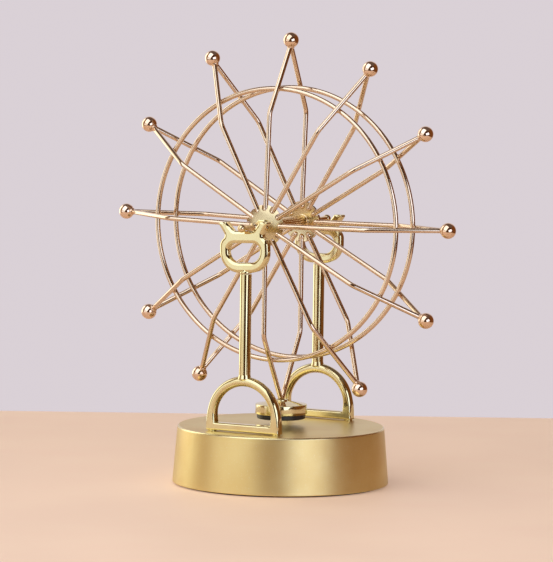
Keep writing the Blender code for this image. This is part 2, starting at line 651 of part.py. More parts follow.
def make_supports(made_of):
    """Foot and post are one casting; the front one is modelled and the rear one is its turned twin."""
    bottom = base_height + SEAM + STUD_HEIGHT
    outlines, arch_top = foot_outlines(bottom)
    post_top = head_bottom - HEAD_BOSS_DROP - SEAM
    gold = made_of["polished gold"]
    support = piece("front_support", upright_plate(outlines, FOOT_DEPTH, FOOT_EDGE_RADIUS), gold)
    hole_radius = HEAD_THICKNESS / 2 - SPIGOT_WALL
    spigot_radius = hole_radius - SEAM
    post_root = arch_top - FOOT_ROD / 2
    post = turned([(0, post_root - POST_RADIUS / 2), (POST_RADIUS * math.sin(math.pi / 4), post_root),
                   (POST_RADIUS, post_root + POST_RADIUS / 2), (POST_RADIUS, post_top),
                   (spigot_radius, post_top), (spigot_radius, post_top + SPIGOT_LENGTH),
                   (0, post_top + SPIGOT_LENGTH)], TURNED_SIDES)
    shaped(support, "UNION", post)
    both = [(-stud_x, 0), (stud_x, 0)]
    studs = rod(STUD_RADIUS, bottom - STUD_HEIGHT, bottom + STUD_ROOT, SMALL_SIDES, both)
    shaped(support, "UNION", studs)
    pilots = rod(SCREW_SHANK_RADIUS + SEAM, base_height - OVERRUN,
                 base_height + SUPPORT_SCREW_REACH + PILOT_RESERVE, SMALL_SIDES, both)
    shaped(support, "DIFFERENCE", pilots)
    support.location = (0, -support_offset, 0)
    twin = placed("rear_support", support.data, gold)
    twin.location = (0, support_offset, 0)
    twin.rotation_euler = (0, 0, math.pi)

    head = piece("front_cradle", upright_plate(head_outlines(), HEAD_THICKNESS, HEAD_EDGE_RADIUS), gold)
    boss_low = head_bottom - HEAD_BOSS_DROP
    boss_high = head_bottom + HEAD_BOSS_RISE
    boss = turned([(0, boss_low), (POST_RADIUS, boss_low), (POST_RADIUS, boss_high - POST_RADIUS / 2),
                   (POST_RADIUS * math.sin(math.pi / 4), boss_high - POST_RADIUS / 4),
                   (0, boss_high)], TURNED_SIDES)
    shaped(head, "UNION", boss)
    socket = rod(hole_radius, boss_low - OVERRUN, boss_low + SPIGOT_LENGTH + 2 * SEAM, TURNED_SIDES)
    shaped(head, "DIFFERENCE", socket)
    head.data.transform(Matrix.Translation((0, 0, -boss_low)))
    head.location = (0, -support_offset, boss_low)
    head.rotation_euler = (0, -math.radians(FRONT_HEAD_TILT_DEGREES), 0)
    twin = placed("rear_cradle", head.data, gold)
    twin.location = (0, support_offset, boss_low)
    twin.rotation_euler = (0, 0, math.pi)


def head_outlines():
    """A ring with a flat topped hole, and two horns that hold the axle between them."""
    hole_top = seat_height - HEAD_BAR
    hole_bottom = hole_top - HEAD_HOLE_HEIGHT
    tip = seat_height + HORN_HEIGHT
    right = [
        (HEAD_HALF_WIDTH, head_bottom, HEAD_LOWER_RADIUS),
        (HEAD_HALF_WIDTH, seat_height - SHOULDER_BELOW_SEAT, HEAD_UPPER_RADIUS),
        (WAIST_HALF_WIDTH, seat_height - WAIST_BELOW_SEAT, WAIST_RADIUS),
        (HORN_REACH, tip, HORN_CORNER_RADIUS),
        (HORN_REACH - HORN_WIDTH, tip, HORN_CORNER_RADIUS),
        (SEAT_HALF_WIDTH, seat_height, SEAT_CORNER_RADIUS),
    ]
    hole_right = [
        (HEAD_HOLE_HALF_WIDTH, hole_bottom, HEAD_HOLE_BOTTOM_RADIUS),
        (HEAD_HOLE_HALF_WIDTH, hole_top, HEAD_HOLE_TOP_RADIUS),
    ]
    outlines = []
    for side in (right, hole_right):
        outlines.append(filleted(side + [(-x, z, radius) for x, z, radius in reversed(side)]))
    return outlines


def make_shell(made_of):
    top = base_height
    edge_centre = (base_top_radius - BASE_EDGE_RADIUS, top - BASE_EDGE_RADIUS)
    outline = [(0, top)] + arc(edge_centre, BASE_EDGE_RADIUS, 90, 0, ARC_STEPS)
    outline += [(base_bottom_radius, rim_height), (base_bottom_radius - SHELL_WALL, rim_height),
                (base_top_radius - SHELL_WALL, shell_under), (0, shell_under)]
    shell = piece("base_shell", turned(outline, BASE_SIDES), made_of["satin gold"])
    boss_under = cover_top + SEAM
    bosses = rod(boss_radius, boss_under, shell_under + SHELL_TOP / 2, SMALL_SIDES, boss_places)
    shaped(shell, "UNION", bosses)
    pilot_radius = SCREW_SHANK_RADIUS + SEAM
    pilots = rod(pilot_radius, boss_under - OVERRUN, screw_end + PILOT_RESERVE, SMALL_SIDES, boss_places)
    support_holes = rod(pilot_radius, shell_under - OVERRUN, top + OVERRUN, SMALL_SIDES, stud_places)
    shaped(shell, "DIFFERENCE", joined([pilots, support_holes]))


def make_cover(made_of):
    """The round cover, with the battery window, the switch slot and two pegs for the board."""
    disc = rod(cover_radius, cover_under, cover_top, BASE_SIDES)
    cover = piece("bottom_cover", disc, made_of["black plastic"])
    low = cover_under - OVERRUN
    high = cover_top + OVERRUN
    window = block((window_left, -window_y, low), (window_right, window_y, high))
    slot_half = (KNOB_LENGTH + SWITCH_TRAVEL) / 2 + SEAM
    slot = block((switch_x - KNOB_WIDTH / 2 - SEAM, -slot_half, low),
                 (switch_x + KNOB_WIDTH / 2 + SEAM, slot_half, high))
    holes = rod(SCREW_SHANK_RADIUS + SEAM, low, high, SMALL_SIDES, boss_places)
    sinks = rod(SCREW_HEAD_RADIUS + SEAM, low, cover_under + COUNTERBORE_DEPTH, SMALL_SIDES,
                boss_places)
    shaped(cover, "DIFFERENCE", joined([window, slot, holes]))
    shaped(cover, "DIFFERENCE", sinks)
    peg_top = board_top + SEAM
    peg = [(0, cover_top - COVER_THICKNESS / 2), (BOARD_POST_RADIUS, cover_top - COVER_THICKNESS / 2),
           (BOARD_POST_RADIUS, board_under - SEAM), (BOARD_PEG_RADIUS, board_under - SEAM),
           (BOARD_PEG_RADIUS, peg_top), (BOARD_PEG_HEAD_RADIUS, peg_top),
           (BOARD_PEG_HEAD_RADIUS, peg_top + BOARD_PEG_HEAD_HEIGHT), (0, peg_top + BOARD_PEG_HEAD_HEIGHT)]
    shaped(cover, "UNION", turned(peg, SMALL_SIDES, board_places))


def make_door(made_of):
    """A flush door; a tongue at each end rests on the cover's inner face and holds it."""
    half_y = window_y - SEAM
    slab = block((window_left + SEAM, -half_y, cover_under), (window_right - SEAM, half_y, cover_top))
    door = piece("battery_door", slab, made_of["black plastic"])
    low = cover_top + SEAM
    high = low + TONGUE_THICKNESS
    outer = half_y - DOOR_END
    inner = outer - DOOR_STEM
    far = window_y + TONGUE_REACH
    clip = [(inner, cover_top - TONGUE_ROOT), (outer, cover_top - TONGUE_ROOT), (outer, low), (far, low),
            (far, high), (inner, high)]
    for side in (-1, 1):
        shaped(door, "UNION", prism([(side * y, z) for y, z in clip], battery_x - TONGUE_WIDTH / 2,
                                    battery_x + TONGUE_WIDTH / 2))


def screw(name, place, head_radius, head_end, head_face, shank_radius, end, made_of):
    """A pan head screw along Z at a place; the shank runs from the head's face to its end."""
    outline = [(0, head_end), (head_radius, head_end), (head_radius, head_face), (shank_radius, head_face),
               (shank_radius, end), (0, end)]
    made = piece(name, turned(outline, SMALL_SIDES), made_of["steel"])
    made.location = (*place, 0)


def make_screws(made_of):
    head_low = screw_head_top - SCREW_HEAD_HEIGHT
    for number, place in enumerate(boss_places, start=1):
        screw(f"cover_screw_{number}", place, SCREW_HEAD_RADIUS, head_low, screw_head_top,
              SCREW_SHANK_RADIUS, screw_end, made_of)
    head_face = shell_under - SEAM
    for number, place in enumerate(stud_places, start=1):
        screw(f"support_screw_{number}", place, SCREW_HEAD_RADIUS, head_face - SCREW_HEAD_HEIGHT, head_face,
              SCREW_SHANK_RADIUS, base_height + SUPPORT_SCREW_REACH, made_of)


def make_battery_box(made_of):
    outside = block((box_left, -box_outer_y, box_under), (box_right, box_outer_y, box_roof_top))
    box = piece("battery_box", outside, made_of["black plastic"])
    inside = block((window_left, -box_inner_y, box_under - OVERRUN),
                   (window_right, box_inner_y, box_roof_under))
    shaped(box, "DIFFERENCE", inside)


def along_length(radius, near, far, x):
    """A rod that lies along Y at the battery's middle height."""
    bm = rod(radius, near, far, SMALL_SIDES)
    return lying(bm, Matrix.Translation((x, 0, battery_middle)) @ Matrix.Rotation(-math.pi / 2, 4, "X"))


def make_battery(made_of):
    """The battery lies on the door, with both terminals at its rear end."""
    body_end = BATTERY_LENGTH - battery_half_length
    left = battery_x - BATTERY_WIDTH / 2
    right = battery_x + BATTERY_WIDTH / 2
    body = block((left, -battery_half_length, box_under), (right, body_end, box_under + BATTERY_HEIGHT))
    battery = piece("nine_volt_battery", body, made_of["cell jacket"])
    slab = block((left, terminal_plate_near, terminal_plate_under),
                 (right, terminal_plate_far, box_roof_under - SEAM))
    plate = piece("terminal_plate", slab, made_of["black plastic"])
    for side, radius in ((-1, SNAP_RADIUS), (1, SOCKET_RADIUS)):
        x = battery_x + side * TERMINAL_SPACING / 2
        shaped(battery, "UNION", along_length(radius, body_end - OVERRUN, battery_half_length, x))
        shaped(plate, "UNION", along_length(CONTACT_RADIUS, contact_face, terminal_plate_near + SEAM, x))


def make_coil(made_of):
    """Bobbin, winding and core stand between the cover and the shell's top."""
    low = cover_top + SEAM
    high = shell_under - SEAM
    tube_bore = CORE_RADIUS + SEAM
    tube_radius = tube_bore + COIL_TUBE_WALL
    flange_top = low + COIL_FLANGE
    upper_flange = high - COIL_FLANGE
    bobbin = [(tube_bore, low), (COIL_RADIUS, low), (COIL_RADIUS, flange_top), (tube_radius, flange_top),
              (tube_radius, upper_flange), (COIL_RADIUS, upper_flange), (COIL_RADIUS, high),
              (tube_bore, high)]
    piece("coil_bobbin", turned(bobbin, TURNED_SIDES), made_of["black plastic"])
    inner = tube_radius + SEAM
    outer = COIL_RADIUS - COIL_FILL_GAP
    winding_low = flange_top + SEAM
    winding_high = upper_flange - SEAM
    winding = [(inner, winding_low), (outer, winding_low), (outer, winding_high), (inner, winding_high)]
    piece("coil_winding", turned(winding, TURNED_SIDES), made_of["copper"])
    piece("coil_core", rod(CORE_RADIUS, low, high, SMALL_SIDES), made_of["steel"])


def make_board(made_of):
    half_width = BOARD_WIDTH / 2
    slab = block((board_x - half_width, -BOARD_LENGTH / 2, board_under),
                 (board_x + half_width, BOARD_LENGTH / 2, board_top))
    board = piece("circuit_board", slab, made_of["circuit green"])
    holes = rod(BOARD_PEG_RADIUS + SEAM, board_under - OVERRUN, board_top + OVERRUN, SMALL_SIDES,
                board_places)
    shaped(board, "DIFFERENCE", holes)
    low = board_top + SEAM
    can = rod(TRANSISTOR_RADIUS, low, low + TRANSISTOR_HEIGHT, SMALL_SIDES, [(board_x, -PART_SPREAD)])
    transistor = piece("drive_transistor", can, made_of["black plastic"])
    flat = block((board_x - TRANSISTOR_RADIUS - OVERRUN, -PART_SPREAD + TRANSISTOR_FLAT, low - OVERRUN),
                 (board_x + TRANSISTOR_RADIUS + OVERRUN, -PART_SPREAD + TRANSISTOR_RADIUS + OVERRUN,
                  low + TRANSISTOR_HEIGHT + OVERRUN))
    shaped(transistor, "DIFFERENCE", flat)
    can = rod(CAPACITOR_RADIUS, low, low + CAPACITOR_HEIGHT, SMALL_SIDES, [(board_x, PART_SPREAD)])
    piece("board_capacitor", can, made_of["cell jacket"])


def make_switch(made_of):
    """The slider rests at its off end, towards the front, and slides towards +Y."""
    low = cover_top + SEAM
    flange_top = low + FLANGE_THICKNESS
    body_top = flange_top + SEAM + SWITCH_WALL
    outside = block((switch_x - switch_half_width, -switch_half_length, low),
                    (switch_x + switch_half_width, switch_half_length, body_top))
    body = piece("power_switch_body", outside, made_of["black plastic"])
    cavity_x = switch_half_width - SWITCH_WALL
    cavity_y = switch_half_length - SWITCH_WALL
    cavity = block((switch_x - cavity_x, -cavity_y, low - OVERRUN),
                   (switch_x + cavity_x, cavity_y, flange_top + SEAM))
    shaped(body, "DIFFERENCE", cavity)
    knob = block((-KNOB_WIDTH / 2, -KNOB_LENGTH / 2, cover_under - KNOB_SHOWN),
                 (KNOB_WIDTH / 2, KNOB_LENGTH / 2, low + FLANGE_THICKNESS / 2))
    slider = piece("power_switch_slider", knob, made_of["black plastic"])
    flange = block((-flange_width / 2, -flange_length / 2, low),
                   (flange_width / 2, flange_length / 2, flange_top))
    shaped(slider, "UNION", flange)
    slider.location = (switch_x, -SWITCH_TRAVEL / 2, 0)


def make_foot_ring(made_of):
    outline = [(foot_ring_inner, 0), (foot_ring_outer, 0), (foot_ring_outer, FOOT_RING_HEIGHT),
               (foot_ring_inner, FOOT_RING_HEIGHT)]
    piece("foot_ring", turned(outline, BASE_SIDES), made_of["rubber"])


def build_ornament():
    for old in list(bpy.data.objects):
        bpy.data.objects.remove(old)
    made_of = make_materials()
    make_shell(made_of)
    make_cover(made_of)
    make_door(made_of)
    make_screws(made_of)
    make_foot_ring(made_of)
    make_battery_box(made_of)
    make_battery(made_of)
    make_coil(made_of)
    make_board(made_of)
    make_switch(made_of)
    make_supports(made_of)

    axis = bpy.data.objects.new("wheel_axis", None)
    bpy.context.scene.collection.objects.link(axis)
    axis.location = (0, 0, axle_height)
    make_hub(axis, made_of)
    make_rings(axis, made_of)
    make_arms(axis, made_of)
    make_magnet(axis, made_of)
    print("overall height", round(axle_height + BALL_CENTRE_RADIUS + BALL_RADIUS, 4), "m, axle at",
          round(axle_height, 4), "m, base", round(2 * base_bottom_radius, 4), "m across")


build_ornament()
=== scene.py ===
import bmesh
import bpy
import numpy as np
from math import acos, asin, atan, atan2, ceil, cos, pi, radians, sin, sqrt, tan
from mathutils import Matrix, Vector
from mathutils.geometry import tessellate_polygon


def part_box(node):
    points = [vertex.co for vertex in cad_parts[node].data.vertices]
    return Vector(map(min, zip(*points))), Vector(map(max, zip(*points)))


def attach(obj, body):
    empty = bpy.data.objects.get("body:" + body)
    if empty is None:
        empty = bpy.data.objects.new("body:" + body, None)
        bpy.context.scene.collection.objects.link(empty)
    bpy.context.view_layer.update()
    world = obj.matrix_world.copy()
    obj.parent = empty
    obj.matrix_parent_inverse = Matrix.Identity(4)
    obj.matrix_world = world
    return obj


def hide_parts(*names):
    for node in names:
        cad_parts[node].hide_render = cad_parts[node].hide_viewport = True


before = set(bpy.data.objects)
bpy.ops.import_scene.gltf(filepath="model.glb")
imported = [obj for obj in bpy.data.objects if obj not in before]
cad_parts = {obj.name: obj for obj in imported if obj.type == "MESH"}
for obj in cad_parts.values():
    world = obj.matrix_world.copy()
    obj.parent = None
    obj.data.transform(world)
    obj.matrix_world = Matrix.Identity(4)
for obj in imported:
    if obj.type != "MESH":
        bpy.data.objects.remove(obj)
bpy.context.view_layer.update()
scene = bpy.context.scene
print("frame loaded")

# Where the camera stands
cameraLook = dict(place=(0.9541, -1.7386, 0.2756), azimuth=28.8545, elevation=4.7315, roll=0.7817, lens=251.16,
    sensor=36, shiftY=-0.02847)


def link(name, data):
    made = bpy.data.objects.new(name, data)
    scene.collection.objects.link(made)
    return made


def several(look, *names):
    return [look[name] for name in names]


def cameraAxes():  # to the right, up, and back from the object
    az, el, roll = map(radians, several(cameraLook, "azimuth", "elevation", "roll"))
    back = Vector((sin(az) * cos(el), -cos(az) * cos(el), sin(el)))
    right = Vector((cos(az), sin(az), 0))
    up = back.cross(right)
    return right * cos(roll) + up * sin(roll), up * cos(roll) - right * sin(roll), back


def levelAxes():  # right and back, laid level
    right, _, back = cameraAxes()
    return Vector((right.x, right.y, 0)).normalized(), Vector((back.x, back.y, 0)).normalized()


def placeCamera():
    data = bpy.data.cameras.new("photoCamera")
    data.lens = cameraLook["lens"]
    data.sensor_width = cameraLook["sensor"]
    data.shift_y = cameraLook["shiftY"]
    made = link("photoCamera", data)
    made.matrix_world = Matrix.Translation(cameraLook["place"]) @ Matrix(cameraAxes()).transposed().to_4x4()
    scene.camera = made


placeCamera()
print("camera placed")


# Shader sums are written as plain Python: a wrapped socket adds its own Math nodes
class Socket:
    def __init__(self, graph, socket):
        self.graph = graph
        self.socket = socket

    def math(self, operation, other=None, swap=False):
        values = [self] if other is None else [self, other]
        if swap:
            values.reverse()
        return self.graph.add("ShaderNodeMath", {"operation": operation}, dict(enumerate(values)))

    def __add__(self, other): return self.math("ADD", other)
    def __sub__(self, other): return self.math("SUBTRACT", other)
    def __rsub__(self, other): return self.math("SUBTRACT", other, swap=True)
    def __mul__(self, other): return self.math("MULTIPLY", other)
    def __truediv__(self, other): return self.math("DIVIDE", other)
    def __pow__(self, other): return self.math("POWER", other)
    __radd__ = __add__
    __rmul__ = __mul__

    def between(self, low, high):  # 0 below low, 1 above high, smooth in between
        settings = {"interpolation_type": "SMOOTHSTEP"}
        return self.graph.add("ShaderNodeMapRange", settings, {"Value": self, "From Min": low, "From Max": high})


class Graph:
    def __init__(self, tree):
        self.tree = tree

    def add(self, kind, settings, inputs, output=0):
        node = self.tree.nodes.new(kind)
        for name, value in settings.items():
            if name == "stops":
                ramp = node.color_ramp
                while len(ramp.elements) > 1:
                    ramp.elements.remove(ramp.elements[-1])
                ramp.elements[0].position = value[0][0]
                for place, _ in value[1:]:
                    ramp.elements.new(place)
                for element, (_, colour) in zip(ramp.elements, value):
                    element.color = (*colour, 1)
            else:
                setattr(node, name, value)
        for name, value in inputs.items():
            self.feed(node.inputs[name], value)
        return Socket(self, node.outputs[output])

    def feed(self, socket, value):
        if isinstance(value, list):
            for each in value:
                self.feed(socket, each)
        elif isinstance(value, Socket):
            self.tree.links.new(value.socket, socket)
        elif hasattr(value, "__len__") and socket.type == "RGBA":
            socket.default_value = (*value, 1)
        else:
            socket.default_value = value

    def source(self, kind, output):  # of a node that needs nothing
        return self.add("ShaderNode" + kind, {}, {}, output)

    def mix(self, share, first, second):  # two colours
        return self.add("ShaderNodeMix", {"data_type": "RGBA"}, {0: share, 6: first, 7: second}, 2)

    def ramp(self, share, stops):
        return self.add("ShaderNodeValToRGB", {"stops": stops}, {"Fac": share})

    def noise(self, vector, scale, detail=3.0):
        return self.add("ShaderNodeTexNoise", {}, {"Vector": vector, "Scale": scale, "Detail": detail})

    def place(self, scale=(1, 1, 1), centre=(0, 0, 0)):  # the piece's own coordinates, stretched for a pattern
        here = self.source("TexCoord", "Object")
        moved = self.add("ShaderNodeVectorMath", {"operation": "SUBTRACT"}, {0: here, 1: centre})
        return self.add("ShaderNodeVectorMath", {"operation": "MULTIPLY"}, {0: moved, 1: scale})

    def parts(self, vector):
        node = self.add("ShaderNodeSeparateXYZ", {}, {"Vector": vector}).socket.node
        return [Socket(self, out) for out in node.outputs]

    def vector(self, x, y, z):
        return self.add("ShaderNodeCombineXYZ", {}, {"X": x, "Y": y, "Z": z})

    def shade(self, colour, roughness, metallic, height, strength, depth):  # the last three make the bump
        bump = self.add("ShaderNodeBump", {}, {"Height": height, "Strength": strength, "Distance": depth})
        values = {"Base Color": colour, "Roughness": roughness, "Metallic": metallic, "Normal": bump}
        for name, value in values.items():
            self.feed(self.tree.nodes["Principled BSDF"].inputs[name], value)


finishes = {}


def newFinish(name):
    made = bpy.data.materials.new(name)
    made.use_nodes = True
    finishes[name] = made
    return Graph(made.node_tree)


axleHeight = sum(corner.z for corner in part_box("hub_sleeve")) / 2
wheelCentre = Vector((0, 0, axleHeight))

# Plated wires and castings: colour drifts a little, and polish, ripples and hairline marks vary
platingLooks = dict(
    roseWire=dict(colour=(0.86, 0.69, 0.50), tint=(0.79, 0.61, 0.42), polish=0.12, flats=0.12, uneven=0.05,
        drift=55, ripple=120, rippleDepth=0.000006, marks=900),
    roseBall=dict(colour=(0.95, 0.74, 0.56), tint=(0.91, 0.66, 0.44), polish=0.04, flats=0.04, uneven=0.05,
        drift=90, ripple=200, rippleDepth=0.000003, marks=1400),
    castGold=dict(colour=(0.87, 0.79, 0.45), tint=(0.82, 0.70, 0.36), polish=0.08, flats=0.16, uneven=0.08,
        drift=60, ripple=260, rippleDepth=0.00001, marks=1100),
    axleGold=dict(colour=(0.93, 0.74, 0.43), tint=(0.85, 0.64, 0.34), polish=0.2, flats=0.24, uneven=0.08, drift=80,
        ripple=300, rippleDepth=0.000005, marks=1200),
)
platingWear = dict(tintAt=(0.35, 0.7), hairlines=(1, 1, 0.12), wornAt=(0.62, 0.8), wornRough=0.04,
    flatAt=(0.94, 0.995), rippleDetail=2.0, bump=0.35)


def plating(name):
    look, wear = platingLooks[name], platingWear
    graph = newFinish(name)
    place = graph.place(centre=wheelCentre)
    drift = graph.noise(place, look["drift"])
    marks = graph.noise(graph.place(scale=wear["hairlines"], centre=wheelCentre), look["marks"])
    worn = marks.between(*wear["wornAt"])
    facing = graph.parts(graph.source("TexCoord", "Normal"))[1].math("ABSOLUTE")
    flat = facing.between(*wear["flatAt"])  # the lapped faces across the axle are satin
    polish = look["polish"] + look["uneven"] * drift * worn + wear["wornRough"] * worn
    graph.shade(graph.mix(drift.between(*wear["tintAt"]), look["colour"], look["tint"]),
                polish + flat * (look["flats"] - look["polish"]), 1.0,
                graph.noise(place, look["ripple"], wear["rippleDetail"]), wear["bump"], look["rippleDepth"])


# Hub plates: pressed sheet with a pale satin plating and a turned grain round the axle
plateLook = dict(colour=(0.72, 0.61, 0.36), edge=(0.80, 0.64, 0.40), roughness=0.22, grainRough=0.03,
    edgeRough=-0.06, grain=5200, grainAlong=30, soft=160, edgeFrom=0.00936, edgeTo=0.01144, ragged=0.0012,
    grainHeight=0.1, bump=0.1, depth=0.000004)


def plateFinish():
    look = plateLook
    graph = newFinish("pressedPlate")
    place = graph.place(centre=wheelCentre)
    x, _, z = graph.parts(place)
    reach = (x * x + z * z) ** 0.5
    along = look["grainAlong"]
    grain = graph.noise(graph.vector(x * along, z * along, reach * look["grain"]), 1.0)
    soft = graph.noise(place, look["soft"])
    edge = (reach + soft * look["ragged"]).between(look["edgeFrom"], look["edgeTo"])
    graph.shade(graph.mix(edge, look["colour"], look["edge"]),
                look["roughness"] + look["grainRough"] * grain + look["edgeRough"] * edge, 1.0,
                grain * look["grainHeight"] + soft, look["bump"], look["depth"])


# Base: satin champagne plating, turned grain, faint speckle, and a paler top rim that is partly rubbed plating and
# partly a painted highlight
satinLook = dict(colour=(0.88, 0.72, 0.32), warm=(0.83, 0.64, 0.26), pale=(0.95, 0.89, 0.60), roughness=0.30,
    grainRough=0.08, cloudRough=0.06, rubbedRough=-0.12, grain=2600, grainAlong=22, speckle=1500, speckleDetail=2.0,
    speckleAt=(0.6, 0.75), speckleShare=0.35, cloud=38, cloudDetail=4.0, warmAt=(0.4, 0.7),
    rubbedRimHighlightAt=(0.0287, 0.0295), ragged=0.0006, sideAt=(0.0515, 0.0523), rubbedRimHighlightShare=0.4, grainHeight=0.6, bump=0.18,
    depth=0.00006)


def satinFinish():
    look = satinLook
    graph = newFinish("satinChampagne")
    place = graph.place()
    x, y, z = graph.parts(place)
    reach = (x * x + y * y) ** 0.5
    along = look["grainAlong"]
    grain = graph.noise(graph.vector(x * along, y * along, (z - reach) * look["grain"]), 1.0)
    speckle = graph.noise(place, look["speckle"], look["speckleDetail"])
    cloud = graph.noise(place, look["cloud"], look["cloudDetail"])
    # the top rim is painted paler and made smoother: part rubbed plating, part painted highlight along the edge
    rubbedRimHighlight = (z + cloud * look["ragged"]).between(*look["rubbedRimHighlightAt"]) * reach.between(*look["sideAt"])
    body = graph.mix(cloud.between(*look["warmAt"]), look["colour"], look["warm"])
    body = graph.mix(speckle.between(*look["speckleAt"]) * look["speckleShare"], body, look["pale"])
    rough = look["roughness"] + look["grainRough"] * grain + look["cloudRough"] * cloud
    graph.shade(graph.mix(rubbedRimHighlight * look["rubbedRimHighlightShare"], body, look["pale"]),
                rough + look["rubbedRough"] * rubbedRimHighlight, 1.0,
                grain * look["grainHeight"] + speckle, look["bump"], look["depth"])


# Moulded, rubber, steel and inner finishes
plainLooks = dict(
    mouldedBlack=dict(colour=(0.028, 0.028, 0.030), tint=(0.050, 0.049, 0.048), roughness=0.42, grain=2600,
        depth=0.00008, metal=0.0),
    footRubber=dict(colour=(0.045, 0.044, 0.043), tint=(0.075, 0.073, 0.070), roughness=0.82, grain=1400,
        depth=0.0001, metal=0.0),
    magnetBlack=dict(colour=(0.018, 0.017, 0.017), tint=(0.060, 0.056, 0.052), roughness=0.34, grain=900,
        depth=0.00005, metal=0.0),
    screwSteel=dict(colour=(0.62, 0.62, 0.60), tint=(0.42, 0.41, 0.40), roughness=0.24, grain=1800, depth=0.00003,
        metal=1.0),
    batteryJacket=dict(colour=(0.10, 0.10, 0.12), tint=(0.16, 0.15, 0.16), roughness=0.30, grain=300, depth=0.00003,
        metal=0.6),
)
plainWear = dict(cloud=70, tintAt=(0.45, 0.75), cloudRough=0.12, grainRough=-0.06, bump=0.3)


def plainFinish(name):
    look, wear = plainLooks[name], plainWear
    graph = newFinish(name)
    place = graph.place()
    grain = graph.noise(place, look["grain"])
    cloud = graph.noise(place, wear["cloud"])
    graph.shade(graph.mix(cloud.between(*wear["tintAt"]), look["colour"], look["tint"]),
                look["roughness"] + wear["cloudRough"] * cloud + wear["grainRough"] * grain, look["metal"],
                grain, wear["bump"], look["depth"])


# gap is painted shade: the winding is coloured darker in the grooves between turns
windingLook = dict(colour=(0.62, 0.27, 0.12), gap=(0.20, 0.07, 0.03), pitch=0.00042, gapAt=(0.3, 0.5), cloud=240,
    cloudDetail=2.0, roughness=0.28, gapRough=0.2, cloudRough=0.1, bump=0.6, depth=0.0001)
boardLook = dict(mask=(0.018, 0.13, 0.055), trace=(0.05, 0.24, 0.11), across=420, acrossAt=(0.55, 0.62), along=260,
    alongAt=(0.3, 0.36), jog=140, jogShift=0.37, roughness=0.36, traceRough=0.1, bump=0.4, depth=0.00005)


def windingFinish():
    look = windingLook
    graph = newFinish("enamelledCopper")
    place = graph.place()
    turnShare = (graph.parts(place)[2] / look["pitch"]).math("FRACT")
    # painted shade in the grooves between turns; the same mask also cuts the grooves in the bump and roughens them
    dip = (turnShare - 0.5).math("ABSOLUTE").between(*look["gapAt"])
    cloud = graph.noise(place, look["cloud"], look["cloudDetail"])
    graph.shade(graph.mix(dip, look["colour"], look["gap"]),
                look["roughness"] + look["gapRough"] * dip + look["cloudRough"] * cloud, 1.0,
                1 - dip, look["bump"], look["depth"])


def boardFinish():
    look = boardLook
    graph = newFinish("circuitBoard")
    x, y, _ = graph.parts(graph.place())
    across = (x * look["across"]).math("FRACT").between(*look["acrossAt"])
    jog = (x * look["jog"]).math("FLOOR") * look["jogShift"]
    trace = across * (y * look["along"] + jog).math("FRACT").between(*look["alongAt"])
    graph.shade(graph.mix(trace, look["mask"], look["trace"]), look["roughness"] + look["traceRough"] * trace, 0.0,
                trace, look["bump"], look["depth"])


for name in platingLooks:
    plating(name)
for name in plainLooks:
    plainFinish(name)
plateFinish()
satinFinish()
windingFinish()
boardFinish()
print("finishes made")

# Small tools for the pieces
meshLook = dict(tiny=0.0000001, weld=0.0000005, crease=35, bevelSteps=3, sideShare=0.98)
castLook = dict(step=0.0005, room=0.9, ahead=0.00001, softenings=6, crease=40, pieces=5)


def baked(made):  # modifiers become a plain mesh
    bpy.context.view_layer.update()
    mesh = bpy.data.meshes.new_from_object(made.evaluated_get(bpy.context.evaluated_depsgraph_get()))
    made.modifiers.clear()
    made.data = mesh
    mesh.name = made.name
    return made


def modified(made, kind, **values):  # by one modifier, at once
    modifier = made.modifiers.new(kind.lower(), kind)
    for name, value in values.items():
        setattr(modifier, name, value)
    return baked(made)


def dressed(made, finish, body, slot, *nodes):
    made.data.materials.clear()
    made.data.materials.append(finishes[finish])
    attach(made, body)
    if nodes:
        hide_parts(*nodes)


def creased(mesh, angle=meshLook["crease"]):
    mesh.shade_smooth()
    mesh.set_sharp_from_angle(angle=radians(angle))


def meshObject(name, bm, angle=meshLook["crease"]):
    bmesh.ops.remove_doubles(bm, verts=bm.verts, dist=meshLook["weld"])
    bmesh.ops.recalc_face_normals(bm, faces=bm.faces)
    mesh = bpy.data.meshes.new(name)
    bm.to_mesh(mesh)
    bm.free()
    creased(mesh, angle)
    return link(name, mesh)


def softEdged(made, width, steps=meshLook["bevelSteps"], angle=meshLook["crease"]):  # flats stay flat
    return modified(made, "BEVEL", width=width, segments=steps, angle_limit=radians(angle), harden_normals=True)


def flatFaced(made):  # large faces keep one normal, as a polished flat does
    return modified(made, "WEIGHTED_NORMAL", weight=100, keep_sharp=True)


def lathe(bm, profile, sides, placed=Matrix()):  # (radius, height) pairs turned about Z
    rows = []
    for radius, height in profile:
        turns = [2 * pi * i / sides for i in range(sides if radius > meshLook["tiny"] else 1)]
        rows.append([bm.verts.new(placed @ Vector((radius * cos(turn), radius * sin(turn), height)))
                     for turn in turns])
    for lower, upper in zip(rows, rows[1:]):
        for i in range(sides):
            ring = [lower[i % len(lower)], lower[(i + 1) % len(lower)],
                    upper[(i + 1) % len(upper)], upper[i % len(upper)]]
            corners = list(dict.fromkeys(ring))
            if len(corners) > 2:
                bm.faces.new(corners)
    return bm


def turnedPiece(name, profile, sides, placed, finish, body, slot, node):
    dressed(meshObject(name, lathe(bmesh.new(), profile, sides, placed)), finish, body, slot, node)


